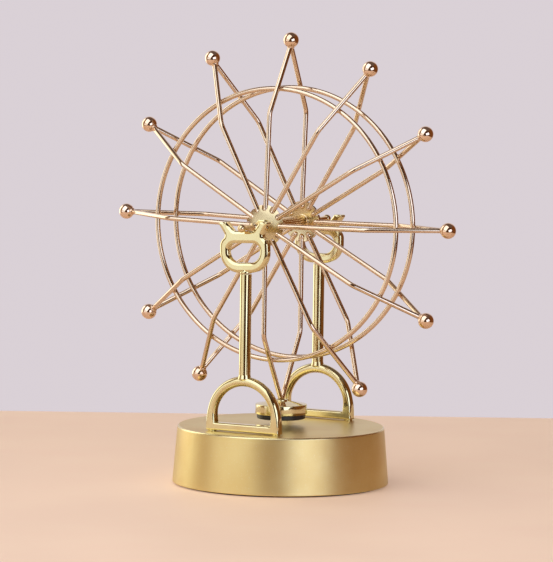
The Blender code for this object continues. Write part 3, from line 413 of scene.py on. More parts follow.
def rounded(corners, steps, closed=False):  # each (x, y, radius) corner becomes an arc
    places = [Vector(corner[:2]) for corner in corners]
    count = len(places)
    halves, runs = [], []
    for i, corner in enumerate(corners):
        if not closed and i in (0, count - 1):
            halves.append(0)
            runs.append(0)
            continue
        before, after = places[i - 1] - places[i], places[(i + 1) % count] - places[i]
        halves.append(before.angle(after) / 2)
        runs.append(corner[2] / tan(halves[i]))
    points = []
    for i, here in enumerate(places):
        fit = 1
        for j in (i - 1, (i + 1) % count):
            if runs[i] + runs[j] > 0:
                fit = min(fit, meshLook["sideShare"] * (places[j] - here).length / (runs[i] + runs[j]))
        run = fit * runs[i]
        if run < meshLook["tiny"]:
            points.append(here)
            continue
        back, on = (places[i - 1] - here).normalized(), (places[(i + 1) % count] - here).normalized()
        middle = here + (back + on).normalized() * run / cos(halves[i])
        start, end = here + back * run - middle, here + on * run - middle
        first = atan2(start.y, start.x)
        sweep = (atan2(end.y, end.x) - first + pi) % (2 * pi) - pi
        for k in range(steps + 1):
            turn = first + sweep * k / steps
            points.append(middle + start.length * Vector((cos(turn), sin(turn))))
    return [(point.x, point.y) for point in points]


def evenly(points, step):  # a closed outline with no side longer than a step
    places = []
    for i, point in enumerate(points):
        here, there = Vector(point), Vector(points[(i + 1) % len(points)])
        count = max(1, ceil((there - here).length / step))
        places += [here.lerp(there, k / count) for k in range(count)]
    return places


def rimShape(low, high, share):  # (run, depth) pairs from a flat face to the plate's side
    points, pieces = [(0, 0)], castLook["pieces"]
    for length, first, last in ((0.5 * (1 - share), 0, low), (share, low, high), (1 - share, high, 90)):
        for k in range(pieces):
            turn = radians(first + (last - first) * (k + 0.5) / pieces)
            run, depth = points[-1]
            points.append((run + length / pieces * cos(turn), depth + length / pieces * sin(turn)))
    whole = points[-1][0]
    return [(1 - run / whole, depth / whole) for run, depth in points]


def rimWidths(rim, inward, everywhere, rimAt):  # no rim meets the one across the metal
    nearest = castLook["ahead"]
    gap = everywhere[None, :, :] - rim[:, None, :]
    ahead = (gap * inward[:, None, :]).sum(axis=2)
    room = np.where(ahead > nearest, (gap ** 2).sum(axis=2) / (2 * np.maximum(ahead, nearest)), 1).min(axis=1)
    most = np.minimum(castLook["room"] * room, [rimAt(x, z) for x, z in rim])
    soft = most
    for _ in range(castLook["softenings"]):
        soft = np.minimum(most, (np.roll(soft, 1) + soft + np.roll(soft, -1)) / 3)
    return soft


def castPlate(outlines, thickness, rimAt, shape):  # upright, with shaped rims
    rims = []
    for number, outline in enumerate(outlines):
        rim = evenly(outline, castLook["step"])
        turned = sum(one.cross(two) for one, two in zip(rim, rim[1:] + rim[:1]))
        if (turned > 0) == (number > 0):  # the metal lies to the left of every rim
            rim.reverse()
        rims.append(np.array(rim))
    everywhere = np.concatenate(rims)
    bm = bmesh.new()
    flats, flatVerts = [], [[], []]
    for rim in rims:
        along = np.roll(rim, -1, axis=0) - np.roll(rim, 1, axis=0)
        along /= np.linalg.norm(along, axis=1)[:, None]
        inward = np.stack([-along[:, 1], along[:, 0]], axis=1)
        sections = []
        for (x, z), (dx, dz), wide in zip(rim, inward, rimWidths(rim, inward, everywhere, rimAt)):
            front = [(x + dx * run * wide, depth * wide - thickness / 2, z + dz * run * wide)
                     for run, depth in shape]
            rear = [(x, -y, z) for x, y, z in reversed(front)]
            section = [bm.verts.new(place) for place in front + rear]
            sections.append(section)
            for verts, vert in zip(flatVerts, (section[0], section[-1])):
                verts.append(vert)
        for near, far in zip(sections, sections[1:] + sections[:1]):
            for k in range(len(near) - 1):
                bm.faces.new((near[k], far[k], far[k + 1], near[k + 1]))
        flats.append([Vector((section[0].co.x, section[0].co.z, 0)) for section in sections])
    for corners in tessellate_polygon(flats):
        for verts in flatVerts:
            bm.faces.new([verts[corner] for corner in corners])
    return bm


# Geometry Nodes: a tree with named inputs, which ends in real mesh and its finish
class Tree(Graph):
    def __init__(self, name, inputs):
        super().__init__(bpy.data.node_groups.new(name, "GeometryNodeTree"))
        self.tree.interface.new_socket("Geometry", in_out="OUTPUT", socket_type="NodeSocketGeometry")
        for label, kind in {"Geometry": "Geometry", **inputs, "Finish": "Material"}.items():
            self.tree.interface.new_socket(label, in_out="INPUT", socket_type="NodeSocket" + kind)
        self.group = self.tree.nodes.new("NodeGroupInput")

    def node(self, kind, inputs, output=0):
        return self.add("GeometryNode" + kind, {}, inputs, output)

    def given(self, label):
        return Socket(self, self.group.outputs[label])

    def attribute(self, label):
        return self.add("GeometryNodeInputNamedAttribute", {"data_type": "FLOAT"}, {"Name": label})

    def turned(self):  # by each point's own turn about the axle's direction
        return self.add("FunctionNodeEulerToRotation", {}, {"Euler": self.vector(0, self.attribute("turn"), 0)})

    def end(self, geometry):
        smooth = self.node("SetShadeSmooth", {"Geometry": geometry})
        whole = self.node("RealizeInstances", {"Geometry": smooth})
        coated = self.node("SetMaterial", {"Geometry": whole, "Material": self.given("Finish")})
        self.feed(self.tree.nodes.new("NodeGroupOutput").inputs[0], coated)
        return self.tree

    def endWithCopies(self, instance, extra):  # one at each point
        points = {"Points": self.given("Geometry"), "Instance": instance, **extra}
        return self.end(self.node("InstanceOnPoints", points))


def pathObject(name, paths, closed, attributes):  # lines of points, with numbers at each point
    mesh = bpy.data.meshes.new(name)
    edges, start = [], 0
    for path in paths:
        edges += [(start + i, start + i + 1) for i in range(len(path) - 1)]
        if closed:
            edges.append((start + len(path) - 1, start))
        start += len(path)
    mesh.from_pydata([point for path in paths for point in path], edges, [])
    for label, values in attributes.items():
        mesh.attributes.new(label, "FLOAT", "POINT").data.foreach_set("value", values)
    return link(name, mesh)


def grownPiece(name, paths, tree, values, finish, body, slot, *nodes, closed=False, crease=None, **attributes):
    made = pathObject(name, paths, closed, attributes)
    modifier = made.modifiers.new("tree", "NODES")
    modifier.node_group = tree
    given = {**values, "Finish": finishes[finish]}
    for item in tree.interface.items_tree:
        if item.in_out == "INPUT" and item.name in given:
            modifier[item.identifier] = given[item.name]
    baked(made)
    if crease:
        creased(made.data, crease)
    dressed(made, finish, body, slot, *nodes)


# The wheel: twelve hairpin wires from plate to plate, two rings, and a ball on each tip
armLook = dict(count=12, magnetArm=7, leans=(1.7, 1.1, -1.2, -0.4, -1.2, 1.2, 0, 1.2, -2, 1.3, 0.8, 2.6),
    wire=0.00125, sides=24, offset=0.0192, root=0.0077, kink=0.0566167, tip=0.0906167, kinkBend=0.008,
    tipBend=0.0015, bendSteps=10, capAngle=50)
ballLook = dict(radius=0.004, reach=0.093, segments=64, rings=40, neck=0.0024, neckTop=0.0016, neckDrop=0.0007,
    neckRise=0.4)
ringLook = dict(radius=0.0687, offset=0.0091609, wire=0.00125, points=144)
beadLook = dict(weld=(0.0014, 0.0016, 0.0015), weldOffset=0.0108, root=(0.0014, 0.0014, 0.0018), rootReach=0.0080,
    detail=3)


def armTurn(number):
    return 2 * pi * (number - 1) / armLook["count"]


def armSlope(number):
    reach = ballLook["reach"]
    return tan(radians(armLook["leans"][number - 1])) * reach / (reach - armLook["root"])


def onArm(number, reach, offset):  # a place beside an arm, as far from the axle as reach
    here = Vector((armSlope(number) * (reach - armLook["root"]), offset, reach))
    return wheelCentre + Matrix.Rotation(armTurn(number), 3, "Y") @ here


def bentWireTree():
    tree = Tree("bentWires", {"Wire Radius": "Float", "Sides": "Int", "Bend Steps": "Int"})
    path = tree.node("MeshToCurve", {"Mesh": tree.given("Geometry")})
    path = tree.add("GeometryNodeFilletCurve", {"mode": "POLY"}, {
        "Curve": path, "Radius": tree.attribute("bend"), "Count": tree.given("Bend Steps"), "Limit Radius": True})
    section = tree.node("CurvePrimitiveCircle", {
        "Resolution": tree.given("Sides"), "Radius": tree.given("Wire Radius")})
    return tree.end(tree.node("CurveToMesh", {
        "Curve": path, "Profile Curve": section, "Fill Caps": True}))


def beadTree():
    tree = Tree("beads", {"Bead Size": "Vector", "Detail": "Int"})
    bead = tree.node("MeshIcoSphere", {"Radius": 1.0, "Subdivisions": tree.given("Detail")})
    return tree.endWithCopies(bead, {"Rotation": tree.turned(), "Scale": tree.given("Bead Size")})


def tipBallTree():
    tree = Tree("tipBalls", {"Ball Radius": "Float", "Segments": "Int", "Rings": "Int", "Neck Radius": "Float",
                             "Neck Top": "Float", "Neck Drop": "Float"})
    ball = tree.node("MeshUVSphere", {
        "Segments": tree.given("Segments"), "Rings": tree.given("Rings"), "Radius": tree.given("Ball Radius")})
    neck = tree.node("MeshCone", {
        "Vertices": tree.given("Segments"), "Radius Top": tree.given("Neck Radius"),
        "Radius Bottom": tree.given("Neck Top"), "Depth": tree.given("Neck Drop") * 2})
    drop = 0 - tree.given("Ball Radius") - tree.given("Neck Drop") * ballLook["neckRise"]
    neck = tree.node("Transform", {"Geometry": neck, "Translation": tree.vector(0, 0, drop)})
    both = tree.node("JoinGeometry", {"Geometry": [ball, neck]})
    return tree.endWithCopies(both, {"Rotation": tree.turned()})


wireTree, weldTree = bentWireTree(), beadTree()
armNumbers = range(1, armLook["count"] + 1)
ballNumbers = [number for number in armNumbers if number != armLook["magnetArm"]]


def makeArms():
    look = armLook
    stations = [(look["root"], 1, 0), (look["kink"], 1, look["kinkBend"]), (look["tip"], 0, look["tipBend"]),
                (look["kink"], -1, look["kinkBend"]), (look["root"], -1, 0)]
    paths = [[onArm(number, reach, -side * look["offset"]) for reach, side, _ in stations]
             for number in armNumbers]
    grownPiece("wireArms", paths, wireTree, {
        "Wire Radius": look["wire"], "Sides": look["sides"], "Bend Steps": look["bendSteps"]},
        "roseWire", "wheel", "rose_gold_wire", *[f"arm_wire_{number:02d}" for number in armNumbers],
        crease=look["capAngle"], bend=[bend for _ in armNumbers for _, _, bend in stations])


def makeRings():
    look = ringLook
    turns = [2 * pi * i / look["points"] for i in range(look["points"])]
    paths = [[wheelCentre + Vector((look["radius"] * sin(turn), side * look["offset"], look["radius"] * cos(turn)))
              for turn in turns] for side in (-1, 1)]
    grownPiece("wheelRings", paths, wireTree, {
        "Wire Radius": look["wire"], "Sides": armLook["sides"], "Bend Steps": 1},
        "roseWire", "wheel", "rose_gold_wire", "front_ring", "rear_ring", closed=True,
        bend=[0] * (2 * look["points"]))


def makeBeads():
    for name, size, reach, offset in (
            ("ringWelds", beadLook["weld"], ringLook["radius"], beadLook["weldOffset"]),
            ("rootSolder", beadLook["root"], beadLook["rootReach"], armLook["offset"])):
        places = [[onArm(number, reach, side * offset)] for number in armNumbers for side in (-1, 1)]
        turns = [armTurn(number) for number in armNumbers for _ in (-1, 1)]
        grownPiece(name, places, weldTree, {"Bead Size": size, "Detail": beadLook["detail"]},
                   "roseWire", "wheel", "rose_gold_wire", turn=turns)


def makeBalls():
    look = ballLook
    places = [[onArm(number, look["reach"], 0)] for number in ballNumbers]
    turns = [armTurn(number) + atan(armSlope(number)) for number in ballNumbers]
    grownPiece("tipBalls", places, tipBallTree(), {
        "Ball Radius": look["radius"], "Segments": look["segments"], "Rings": look["rings"],
        "Neck Radius": look["neck"], "Neck Top": look["neckTop"], "Neck Drop": look["neckDrop"]},
        "roseBall", "wheel", "polished_gold", *[f"tip_ball_{number:02d}" for number in ballNumbers],
        turn=turns)


makeArms()
makeRings()
makeBeads()
makeBalls()
print("arms, rings and balls made")

# The hub: two notched domed plates, the tube between them, nuts, and the axle with its grooves and ball ends
hubLook = dict(plateRadius=0.0104, plateThickness=0.0012, domeRise=0.0016, notchDepth=0.003, notchHalf=0.00155,
    bore=0.0024, plateEdge=0.00022, plateSteps=(8, 6, 4), toothSteps=10, sleeveFront=0.0028, sleeveRear=0.0032,
    sleeveHalf=0.0199, collarRadius=0.0040, collarWidth=0.0011, sleeveRounds=(0.0002, 0.0004, 0.0005, 0.0002),
    nutRadius=0.0036, nutInner=0.0217, nutOuter=0.0235, nutChamfer=0.00045, nutEdge=0.00008, nutAngle=20,
    nutSides=6, sides=64)
axleLook = dict(radius=0.0021, groove=0.0013, grooveInner=0.0337, grooveOuter=0.0432, ballCentre=0.04485,
    ballRadius=0.0021, shift=0.0014, start=0.01175, rounds=(0.0003, 0.0004, 0.0002), ballSteps=16, sides=56)
alongAxle = Matrix.Translation(wheelCentre) @ Matrix.Rotation(-pi / 2, 4, "X")
downArm = Matrix.Translation(wheelCentre) @ Matrix.Rotation(pi, 4, "X")


def hubPlate(end, side):
    look = hubLook
    bore, radius, notchHalf, steps = look["bore"], look["plateRadius"], look["notchHalf"], look["toothSteps"]
    floorRadius = radius - look["notchDepth"]
    roundCentre = floorRadius + notchHalf
    inner, curved, outer = look["plateSteps"]
    reaches = [bore + (floorRadius - bore) * i / inner for i in range(inner + 1)]
    reaches += [floorRadius + notchHalf * (1 - cos(pi / 2 * i / curved)) for i in range(1, curved + 1)]
    reaches += [roundCentre + (radius - roundCentre) * i / outer for i in range(1, outer + 1)]
    bm = bmesh.new()
    for tooth in range(armLook["count"]):
        grid = []
        for reach in reaches:
            half = 0
            if reach > floorRadius:
                half = sqrt(max(0, notchHalf ** 2 - max(0, roundCentre - reach) ** 2))
            away = asin(half / reach)
            low = 2 * pi * tooth / armLook["count"] + away
            span = 2 * pi / armLook["count"] - 2 * away
            offset = armLook["offset"] + look["domeRise"] * (1 - (reach / radius) ** 2)
            turns = [low + span * i / steps for i in range(steps + 1)]
            grid.append([bm.verts.new((reach * sin(turn), side * offset, reach * cos(turn) + axleHeight))
                         for turn in turns])
        for near, far in zip(grid, grid[1:]):
            for i in range(steps):
                bm.faces.new((near[i], near[i + 1], far[i + 1], far[i]))
    made = modified(meshObject(end + "HubPlate", bm), "SOLIDIFY", thickness=look["plateThickness"], offset=0)
    dressed(softEdged(made, look["plateEdge"]), "pressedPlate", "wheel", "pale_gold",
            end + "_hub_plate")


def axleProfile():
    look = axleLook
    radius, groove, centre, ball = several(look, "radius", "groove", "ballCentre", "ballRadius")
    shoulder, neck, end = look["rounds"]
    corners = [(radius, look["start"], 0), (radius, look["grooveInner"] - (radius - groove), shoulder),
               (groove, look["grooveInner"], neck), (groove, look["grooveOuter"], end),
               (radius, look["grooveOuter"], 0)]
    points = rounded(corners, 5)[:-1]
    sweep = pi - acos((centre - look["grooveOuter"]) / ball)
    for i in range(look["ballSteps"] + 1):
        turn = sweep - sweep * i / look["ballSteps"]
        points.append((ball * sin(turn), centre + ball * cos(turn)))
    points[-1] = (0, centre + ball)
    mirrored = [(radius, -along) for radius, along in reversed(points)]
    return [(radius, along + look["shift"]) for radius, along in mirrored + points]


def hubNut(end, side):
    look = hubLook
    chamfer, radius, low, high = look["nutChamfer"], look["nutRadius"], look["nutInner"], look["nutOuter"]
    shape = [(0, low), (radius - chamfer, low), (radius, low + chamfer / 2), (radius, high - chamfer / 2),
             (radius - chamfer, high), (0, high)]
    flip = Matrix.Scale(side, 4, (0, 0, 1))
    nut = meshObject(end + "HubNut", lathe(bmesh.new(), shape, look["nutSides"], alongAxle @ flip), look["nutAngle"])
    dressed(softEdged(nut, look["nutEdge"], 2, look["nutAngle"]), "castGold", "wheel", "polished_gold",
            end + "_hub_nut")


def makeHub():
    look = hubLook
    hubPlate("front", -1)
    hubPlate("rear", 1)
    half, collar, width = look["sleeveHalf"], look["collarRadius"], look["collarWidth"]
    front, taper, inside, outside = look["sleeveRounds"]
    outline = rounded([(look["bore"], -half, 0), (look["sleeveFront"], -half, front),
                       (look["sleeveRear"], half - width, taper), (collar, half - width, inside),
                       (collar, half, outside), (look["bore"], half, 0)], 4, closed=True)
    turnedPiece("hubSleeve", outline + outline[:1], look["sides"], alongAxle,
                "axleGold", "wheel", "polished_gold", "hub_sleeve")
    hubNut("front", -1)
    hubNut("rear", 1)
    turnedPiece("axleRod", axleProfile(), axleLook["sides"], alongAxle, "axleGold", "wheel", "polished_gold", "axle")


makeHub()
print("hub and axle made")

# The magnet and its holder, on the lowest arm; heights run down from the axle
holderLook = dict(seat=0.002133, seatFloor=0.0906162, collar=0.003133, collarTop=0.0896162, domeTop=0.0904162,
    rimTop=0.0919162, radius=0.0132, rimBottom=0.0969162, recess=0.0126, recessFloor=0.0949162, domeEdge=0.0006,
    domeSteps=13, crown=1.25, lip=0.00035, rounds=(0.0002, 0.0003, 0.0001), sides=128)
magnetLook = dict(radius=0.0123, top=0.0952162, face=0.0993162, topRound=0.0002, chamfer=0.0005)


def makeMagnet():
    look = holderLook
    seat, collar, radius, recess = several(look, "seat", "collar", "radius", "recess")
    fine, plain, finest = look["rounds"]
    dome = []
    for i in range(1, look["domeSteps"]):  # a low cone, crowned towards its rim
        share = i / look["domeSteps"]
        dome.append((collar + (radius - look["domeEdge"] - collar) * share,
                     look["domeTop"] + (look["rimTop"] - look["domeTop"]) * share ** look["crown"], 0))
    shape = rounded([(seat, look["seatFloor"], 0), (seat, look["collarTop"], fine),
                     (collar, look["collarTop"], plain), (collar, look["domeTop"], plain), *dome,
                     (radius, look["rimTop"], look["lip"]), (radius, look["rimBottom"], plain),
                     (recess, look["rimBottom"], finest), (recess, look["recessFloor"], 0)], 6)
    turnedPiece("magnetHolder", [(0, look["seatFloor"]), *shape, (0, look["recessFloor"])], look["sides"], downArm,
                "castGold", "wheel", "polished_gold", "magnet_holder")
    look = magnetLook
    shape = rounded([(0, look["top"], 0), (look["radius"], look["top"], look["topRound"]),
                     (look["radius"], look["face"], look["chamfer"]), (0, look["face"], 0)], 6)
    turnedPiece("driveMagnet", shape, holderLook["sides"], downArm, "magnetBlack", "wheel", "magnet_black",
                "drive_magnet")


makeMagnet()
print("magnet made")

# Supports: a D shaped foot and its round post; cradles: a horned ring on each post
supportLook = dict(offset=0.03845, bottom=0.0301, halfWidth=0.0208, rod=0.005, depth=0.0052, bar=0.004, leg=0.0072,
    rim=0.0021, barRim=0.0009, rimShape=(40, 50, 0.1), toe=0.0006, archSteps=48, studX=0.0183, studRadius=0.0022,
    studRoot=0.0012, studRound=0.00015, baseTop=0.0296, postRadius=0.00295, postTop=0.1095162, rootShare=0.7,
    flare=0.0005, flareDrop=0.0012, flareRise=0.0008, postRounds=(0.0003, 0.0006, 0.0002),
    postSides=64, studSides=32)
cradleLook = dict(pivot=0.1098162, tilt=2.5, thickness=0.0045, rim=0.0016, rimShape=(13, 37, 0.7), seat=0.1310162,
    bottom=0.1102162, halfWidth=0.0136, bar=0.006, holeHalf=0.0091, holeHeight=0.0098, holeTop=0.0038,
    holeBottom=0.0055, lower=0.0102, upper=0.005, seatHalf=0.0058, seatRound=0.002, hornHeight=0.0046,
    hornReach=0.0144, hornWidth=0.0048, hornRound=0.0008, waist=0.0102, waistRound=0.0018, waistDrop=0.0027,
    shoulderDrop=0.0052, bossShoulder=0.1108, bossCone=42, bossTip=0.0006, bossRounds=(0.00015, 0.0004, 0.0003))


def arch(halfWidth, spring, steps=supportLook["archSteps"]):
    return [(halfWidth * cos(pi * i / steps), spring + halfWidth * sin(pi * i / steps)) for i in range(steps + 1)]


def supportBm():
    look = supportLook
    bottom, half, rod, post = several(look, "bottom", "halfWidth", "rod", "postRadius")
    spring = bottom + look["leg"]
    inner = half - rod
    barTop = bottom + look["bar"]
    toes = [(-half, spring, 0), (-half, bottom, look["toe"]), (half, bottom, look["toe"]), (half, spring, 0)]
    outside = rounded(toes, 4)[:-1] + arch(half, spring)[:-1]
    inside = [(-inner, barTop), (inner, barTop)] + arch(inner, spring)

    def rimAt(x, z):  # the bar below is squarer than the legs and the arch
        rise = min(1, max(0, (z - barTop) / look["leg"]))
        return look["barRim"] + (look["rim"] - look["barRim"]) * rise

    bm = castPlate([outside, inside], look["depth"], rimAt, rimShape(*look["rimShape"]))
    top = spring + half
    flare, neck, end = look["postRounds"]
    shape = rounded([(0, top - rod / 2, 0), (post * look["rootShare"], top - rod / 2, 0),
                     (post + look["flare"], top - look["flareDrop"], flare),
                     (post, top + look["flareRise"], neck), (post, look["postTop"], end),
                     (0, look["postTop"], 0)], 5)
    lathe(bm, shape, look["postSides"])
    root, stud, under = bottom + look["studRoot"], look["studRadius"], look["baseTop"]
    shape = rounded([(0, root, 0), (stud, root, 0), (stud, under, look["studRound"]), (0, under, 0)],
                    3)
    for x in (-look["studX"], look["studX"]):
        lathe(bm, shape, look["studSides"], Matrix.Translation((x, 0, 0)))
    return bm


def cradleBm():
    look = cradleLook
    half, seat, horn, holeHalf = several(look, "halfWidth", "seat", "hornReach", "holeHalf")
    tip = seat + look["hornHeight"]
    right = [(half, look["bottom"], look["lower"]), (half, seat - look["shoulderDrop"], look["upper"]),
             (look["waist"], seat - look["waistDrop"], look["waistRound"]), (horn, tip, look["hornRound"]),
             (horn - look["hornWidth"], tip, look["hornRound"]), (look["seatHalf"], seat, look["seatRound"])]
    holeTop = seat - look["bar"]
    hole = [(holeHalf, holeTop - look["holeHeight"], look["holeBottom"]), (holeHalf, holeTop, look["holeTop"])]
    outlines = [rounded(side + [(-x, z, radius) for x, z, radius in reversed(side)], 14, closed=True)
                for side in (right, hole)]
    bm = castPlate(outlines, look["thickness"], lambda x, z: look["rim"], rimShape(*look["rimShape"]))
    radius, shoulder, tipRadius = supportLook["postRadius"], look["bossShoulder"], look["bossTip"]
    coneTop = shoulder + (radius - tipRadius) / tan(radians(look["bossCone"]))
    low, middle, high = look["bossRounds"]
    boss = rounded([(0, look["pivot"], 0), (radius, look["pivot"], low), (radius, shoulder, middle),
                    (tipRadius, coneTop, high), (0, coneTop, 0)], 4)
    return lathe(bm, boss, supportLook["postSides"])


def castPiece(end, part, bm, place):
    bmesh.ops.transform(bm, matrix=place, verts=bm.verts)
    made = flatFaced(meshObject(end + part, bm, castLook["crease"]))
    dressed(made, "castGold", "base", "polished_gold", f"{end}_{part.lower()}")


def makeStands():
    pivot = Vector((0, 0, cradleLook["pivot"]))
    for end, side, turn, tilt in (("front", -1, 0, cradleLook["tilt"]), ("rear", 1, pi, 0)):
        about = Matrix.Translation((0, side * supportLook["offset"], 0)) @ Matrix.Rotation(turn, 4, "Z")
        lean = Matrix.Rotation(-radians(tilt), 4, "Y")
        leaned = Matrix.Translation(pivot) @ lean @ Matrix.Translation(-pivot)
        castPiece(end, "Support", supportBm(), about)
        castPiece(end, "Cradle", cradleBm(), about @ leaned)


makeStands()
print("supports and cradles made")

# The base: a tapered drum open below, its screw bosses inside, a rubber ring to stand on
baseLook = dict(top=0.0296, topRadius=0.0526189, bottomRadius=0.0550189, rim=0.0008, edge=0.001, wall=0.0016,
    under=0.0278, sides=224, boss=0.003, bossBore=0.0015, bossUnder=0.0035, bossTop=0.0283, bossCircle=0.0468189,
    bossTurns=(75, 180, 285), bossSides=32, rounds=(0.0004, 0.0002, 0.0005), footInner=0.0500189, footOuter=0.0525243,
    footHeight=0.0009, footRound=0.0003, footSides=192)
screwLook = dict(radius=0.0026, height=0.0009, face=0.002, shank=0.0012, end=0.014, pointLength=0.001,
    headRounds=(0.0005, 0.0001), sides=40, slotHalf=0.0002, slotReach=0.0014, slotDepth=0.0005)
gripLook = dict(half=0.00035, sides=16, endAngle=50)
gripRows = (
    dict(name="doorGrip", first=(0.02635, -0.0205, 0.0012), length=0.012, count=5, pitch=0.0015, proud=0.00025,
        body="base"),
    dict(name="switchGrip", first=(-0.033, -0.003, 0.0008), length=0.0024, count=3, pitch=0.001, proud=0.0002,
        body="switch_slider"),
)
bossPlaces = [Vector((baseLook["bossCircle"] * cos(radians(turn)), baseLook["bossCircle"] * sin(radians(turn)), 0))
              for turn in baseLook["bossTurns"]]


def makeBase():
    look = baseLook
    top, rim, under, wall = several(look, "top", "rim", "under", "wall")
    rimOuter, rimInner, corner = look["rounds"]
    shape = rounded([(0, top, 0), (look["topRadius"], top, look["edge"]), (look["bottomRadius"], rim, rimOuter),
                     (look["bottomRadius"] - wall, rim, rimInner), (look["topRadius"] - wall, under, corner),
                     (0, under, 0)], 8)
    bm = lathe(bmesh.new(), shape, look["sides"])
    bore, boss, low, high = several(look, "bossBore", "boss", "bossUnder", "bossTop")
    for place in bossPlaces:
        lathe(bm, [(bore, low), (boss, low), (boss, high), (bore, high), (bore, low)], look["bossSides"],
              Matrix.Translation(place))
    dressed(flatFaced(meshObject("baseShell", bm)), "satinChampagne", "base", "satin_gold", "base_shell")
    inner, outer, height, edge = several(look, "footInner", "footOuter", "footHeight", "footRound")
    ring = rounded([(inner, 0, edge), (outer, 0, edge), (outer, height, 0), (inner, height, 0)], 4, closed=True)
    turnedPiece("footRing", ring + ring[:1], look["footSides"], Matrix(), "footRubber", "base", "foot_rubber",
                "foot_ring")


def crossScrew():  # one pan head screw, head down, with a cross recess
    look = screwLook
    radius, face, shank, end = several(look, "radius", "face", "shank", "end")
    top = face - look["height"]
    pan, edge = look["headRounds"]
    shape = rounded([(0, top, 0), (radius, top, pan), (radius, face, edge), (shank, face, 0),
                     (shank, end - look["pointLength"], 0), (0, end, 0)], 4)
    made = meshObject("crossScrew", lathe(bmesh.new(), shape, look["sides"]))
    for name, x, y in (("slotAcross", look["slotReach"], look["slotHalf"]),
                       ("slotAlong", look["slotHalf"], look["slotReach"])):
        bm = bmesh.new()
        size = Matrix.Diagonal((x, y, look["slotDepth"], 1))
        bmesh.ops.create_cube(bm, size=2, matrix=Matrix.Translation((0, 0, top)) @ size)
        tool = meshObject(name, bm)
        modified(made, "BOOLEAN", operation="DIFFERENCE", object=tool)
        bpy.data.objects.remove(tool)
    creased(made.data)
    return made


def screwTree():
    tree = Tree("screws", {"Screw": "Object"})
    screw = tree.node("ObjectInfo", {"Object": tree.given("Screw")}, "Geometry")
    return tree.endWithCopies(screw, {})


def gripTree():
    tree = Tree("gripRibs", {"Rib Length": "Float", "Rib Half Width": "Float", "Proud": "Float", "Sides": "Int"})
    bar = tree.node("MeshCylinder", {
        "Vertices": tree.given("Sides"), "Radius": 1.0, "Depth": tree.given("Rib Length")})
    size = tree.vector(tree.given("Proud"), tree.given("Rib Half Width"), 1.0)
    bar = tree.node("Transform", {"Geometry": bar, "Scale": size, "Rotation": (0, pi / 2, 0)})
    return tree.endWithCopies(bar, {})


def makeFixings():
    screw = crossScrew()
    grownPiece("coverScrews", [[place] for place in bossPlaces], screwTree(), {"Screw": screw},
               "screwSteel", "base", "plain_steel", "cover_screw_1", "cover_screw_2", "cover_screw_3")
    bpy.data.objects.remove(screw)
    look = gripLook
    for row in gripRows:
        x, y, z = row["first"]
        ribs = [[Vector((x, y + row["pitch"] * i, z))] for i in range(row["count"])]
        grownPiece(row["name"], ribs, gripTree(), {
            "Rib Length": row["length"], "Rib Half Width": look["half"], "Proud": row["proud"],
            "Sides": look["sides"]}, "mouldedBlack", row["body"], "black_plastic", crease=look["endAngle"])


makeBase()
makeFixings()
print("base made")

# The parts under the base and inside it keep their shape and get their finish
innerFinishes = {
    "mouldedBlack": ("bottom_cover", "battery_door", "battery_box", "terminal_plate", "coil_bobbin",
                     "drive_transistor", "power_switch_body", "power_switch_slider"),
    "screwSteel": ("coil_core", "support_screw_1", "support_screw_2", "support_screw_3", "support_screw_4"),
    "batteryJacket": ("nine_volt_battery", "board_capacitor"),
    "enamelledCopper": ("coil_winding",),
    "circuitBoard": ("circuit_board",),
}
for finish, names in innerFinishes.items():
    for name in names:
        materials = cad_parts[name].data.materials
        materials.clear()
        materials.append(finishes[finish])
print("inner parts finished")

# Floor, studio and lamps: a pale slab and wall, a darker room in front with one pale stripe, three soft lamps
wallColour, stripeColour = (0.70, 0.635, 0.675), (2.0, 2.0, 1.85)
stageLook = dict(floorFrom=(-0.56, -0.46), floorTo=(0.42, 0.29), floorThickness=0.012, floorEdge=0.001,
    floorColour=(0.85, 0.62, 0.45), paler=1.06, cloud=9, cloudAt=(0.3, 0.7), glow=0.34, mirrorGlow=0.14,
    roughness=0.55, cloudRough=0.1, grain=700, bump=0.1, depth=0.0001, backdrop=wallColour)
studioLook = dict(  # degrees from the camera's side, to the right
    level=[(-180, wallColour), (-144, wallColour), (-138, stripeColour), (-116, stripeColour),
        (-104, (0.46, 0.36, 0.24)), (-90, (0.30, 0.17, 0.10)), (-64, (0.18, 0.11, 0.07)),
        (-24, (0.09, 0.045, 0.018)), (12, (0.05, 0.024, 0.012)), (58, (0.10, 0.045, 0.02)),
        (74, (0.17, 0.06, 0.015)), (134, (0.18, 0.065, 0.02)), (152, (0.62, 0.54, 0.56)),
        (162, wallColour), (180, wallColour)],
    ceiling=(0.13, 0.09, 0.075), wallTop=44, wallSoft=0.1, lampAim=0.11,
)
lampLooks = dict(
    windowLamp=dict(azimuth=-41, height=45, distance=1.5, size=(1.5, 1.85), bright=1.5,
        colour=(0.94, 1.0, 1.12), roll=-12),
    lowLamp=dict(azimuth=-54, height=2, distance=1.4, size=(1.36, 0.56), bright=0.88,
        colour=(0.94, 1.0, 1.08), roll=0),
    sideLamp=dict(azimuth=30, height=8, distance=1.3, size=(1.02, 0.66), bright=1.7,
        colour=(0.90, 1.0, 1.3), roll=18),
)


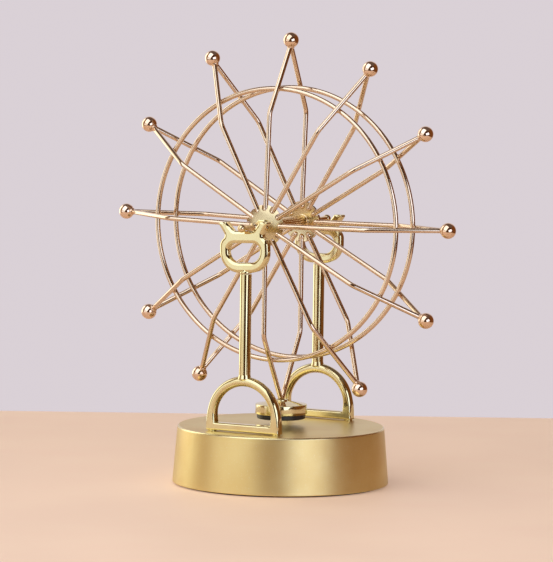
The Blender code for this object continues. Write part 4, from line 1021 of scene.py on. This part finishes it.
def makeFloor():  # a plain slab, square to the camera
    look = stageLook
    (left, near), (right, far), deep = look["floorFrom"], look["floorTo"], look["floorThickness"]
    placed = Matrix.Rotation(radians(cameraLook["azimuth"]), 4, "Z") @ Matrix.Translation(
        ((left + right) / 2, (near + far) / 2, -deep / 2))
    bm = bmesh.new()
    bmesh.ops.create_cube(bm, size=1, matrix=placed @ Matrix.Diagonal((right - left, far - near, deep, 1)))
    floor = softEdged(meshObject("floor", bm), look["floorEdge"])
    graph = newFinish("paleFloor")
    cloud = graph.noise(graph.place(), look["cloud"])
    pale = tuple(min(1, value * look["paler"]) for value in look["floorColour"])
    colour = graph.mix(cloud.between(*look["cloudAt"]), look["floorColour"], pale)
    graph.shade(colour, look["roughness"] + look["cloudRough"] * cloud, 0.0,
                graph.noise(graph.place(), look["grain"]), look["bump"], look["depth"])
    seen = graph.source("LightPath", "Is Camera Ray")
    mirrored = graph.source("LightPath", "Is Glossy Ray")
    glow = seen * look["glow"] + mirrored * look["mirrorGlow"]
    shader = graph.tree.nodes["Principled BSDF"].inputs
    graph.feed(shader["Emission Color"], graph.mix(glow, (0, 0, 0), colour))
    graph.feed(shader["Emission Strength"], 1.0)
    floor.data.materials.append(finishes["paleFloor"])


def makeStudio():
    world = bpy.data.worlds.new("studio")
    scene.world = world
    world.use_nodes = True
    graph = Graph(world.node_tree)
    across, level = levelAxes()
    x, y, z = graph.parts(graph.source("TexCoord", "Generated"))
    toRight = x * across.x + y * across.y
    toCamera = x * level.x + y * level.y
    turn = toRight.math("ARCTAN2", toCamera) / (2 * pi) + 0.5
    look = studioLook
    room = graph.ramp(turn, [((degrees + 180) / 360, colour) for degrees, colour in look["level"]])
    wallTop, soft = sin(radians(look["wallTop"])), look["wallSoft"]
    room = graph.mix(z.between(wallTop - soft, wallTop + soft), room, look["ceiling"])
    seen = graph.source("LightPath", "Is Camera Ray")
    graph.feed(world.node_tree.nodes["Background"].inputs["Color"], graph.mix(seen, room, stageLook["backdrop"]))


def areaLamp(name, look):
    across, level = levelAxes()
    turn, rise = radians(look["azimuth"]), radians(look["height"])
    way = (level * cos(turn) + across * sin(turn)) * cos(rise) + Vector((0, 0, sin(rise)))
    data = bpy.data.lights.new(name, "AREA")
    data.shape = "RECTANGLE"
    data.size, data.size_y = look["size"]
    data.energy = look["bright"] * pi * data.size * data.size_y
    data.color = look["colour"]
    lamp = link(name, data)
    placed = way.to_track_quat("Z", "Y").to_matrix() @ Matrix.Rotation(radians(look["roll"]), 3, "Z")
    aim = Vector((0, 0, studioLook["lampAim"]))
    lamp.matrix_world = Matrix.Translation(aim + way * look["distance"]) @ placed.to_4x4()
    lamp.visible_camera = False


scene.view_settings.view_transform = "Standard"
makeFloor()
makeStudio()
for name, look in lampLooks.items():
    areaLamp(name, look)
print("stage and lamps made")
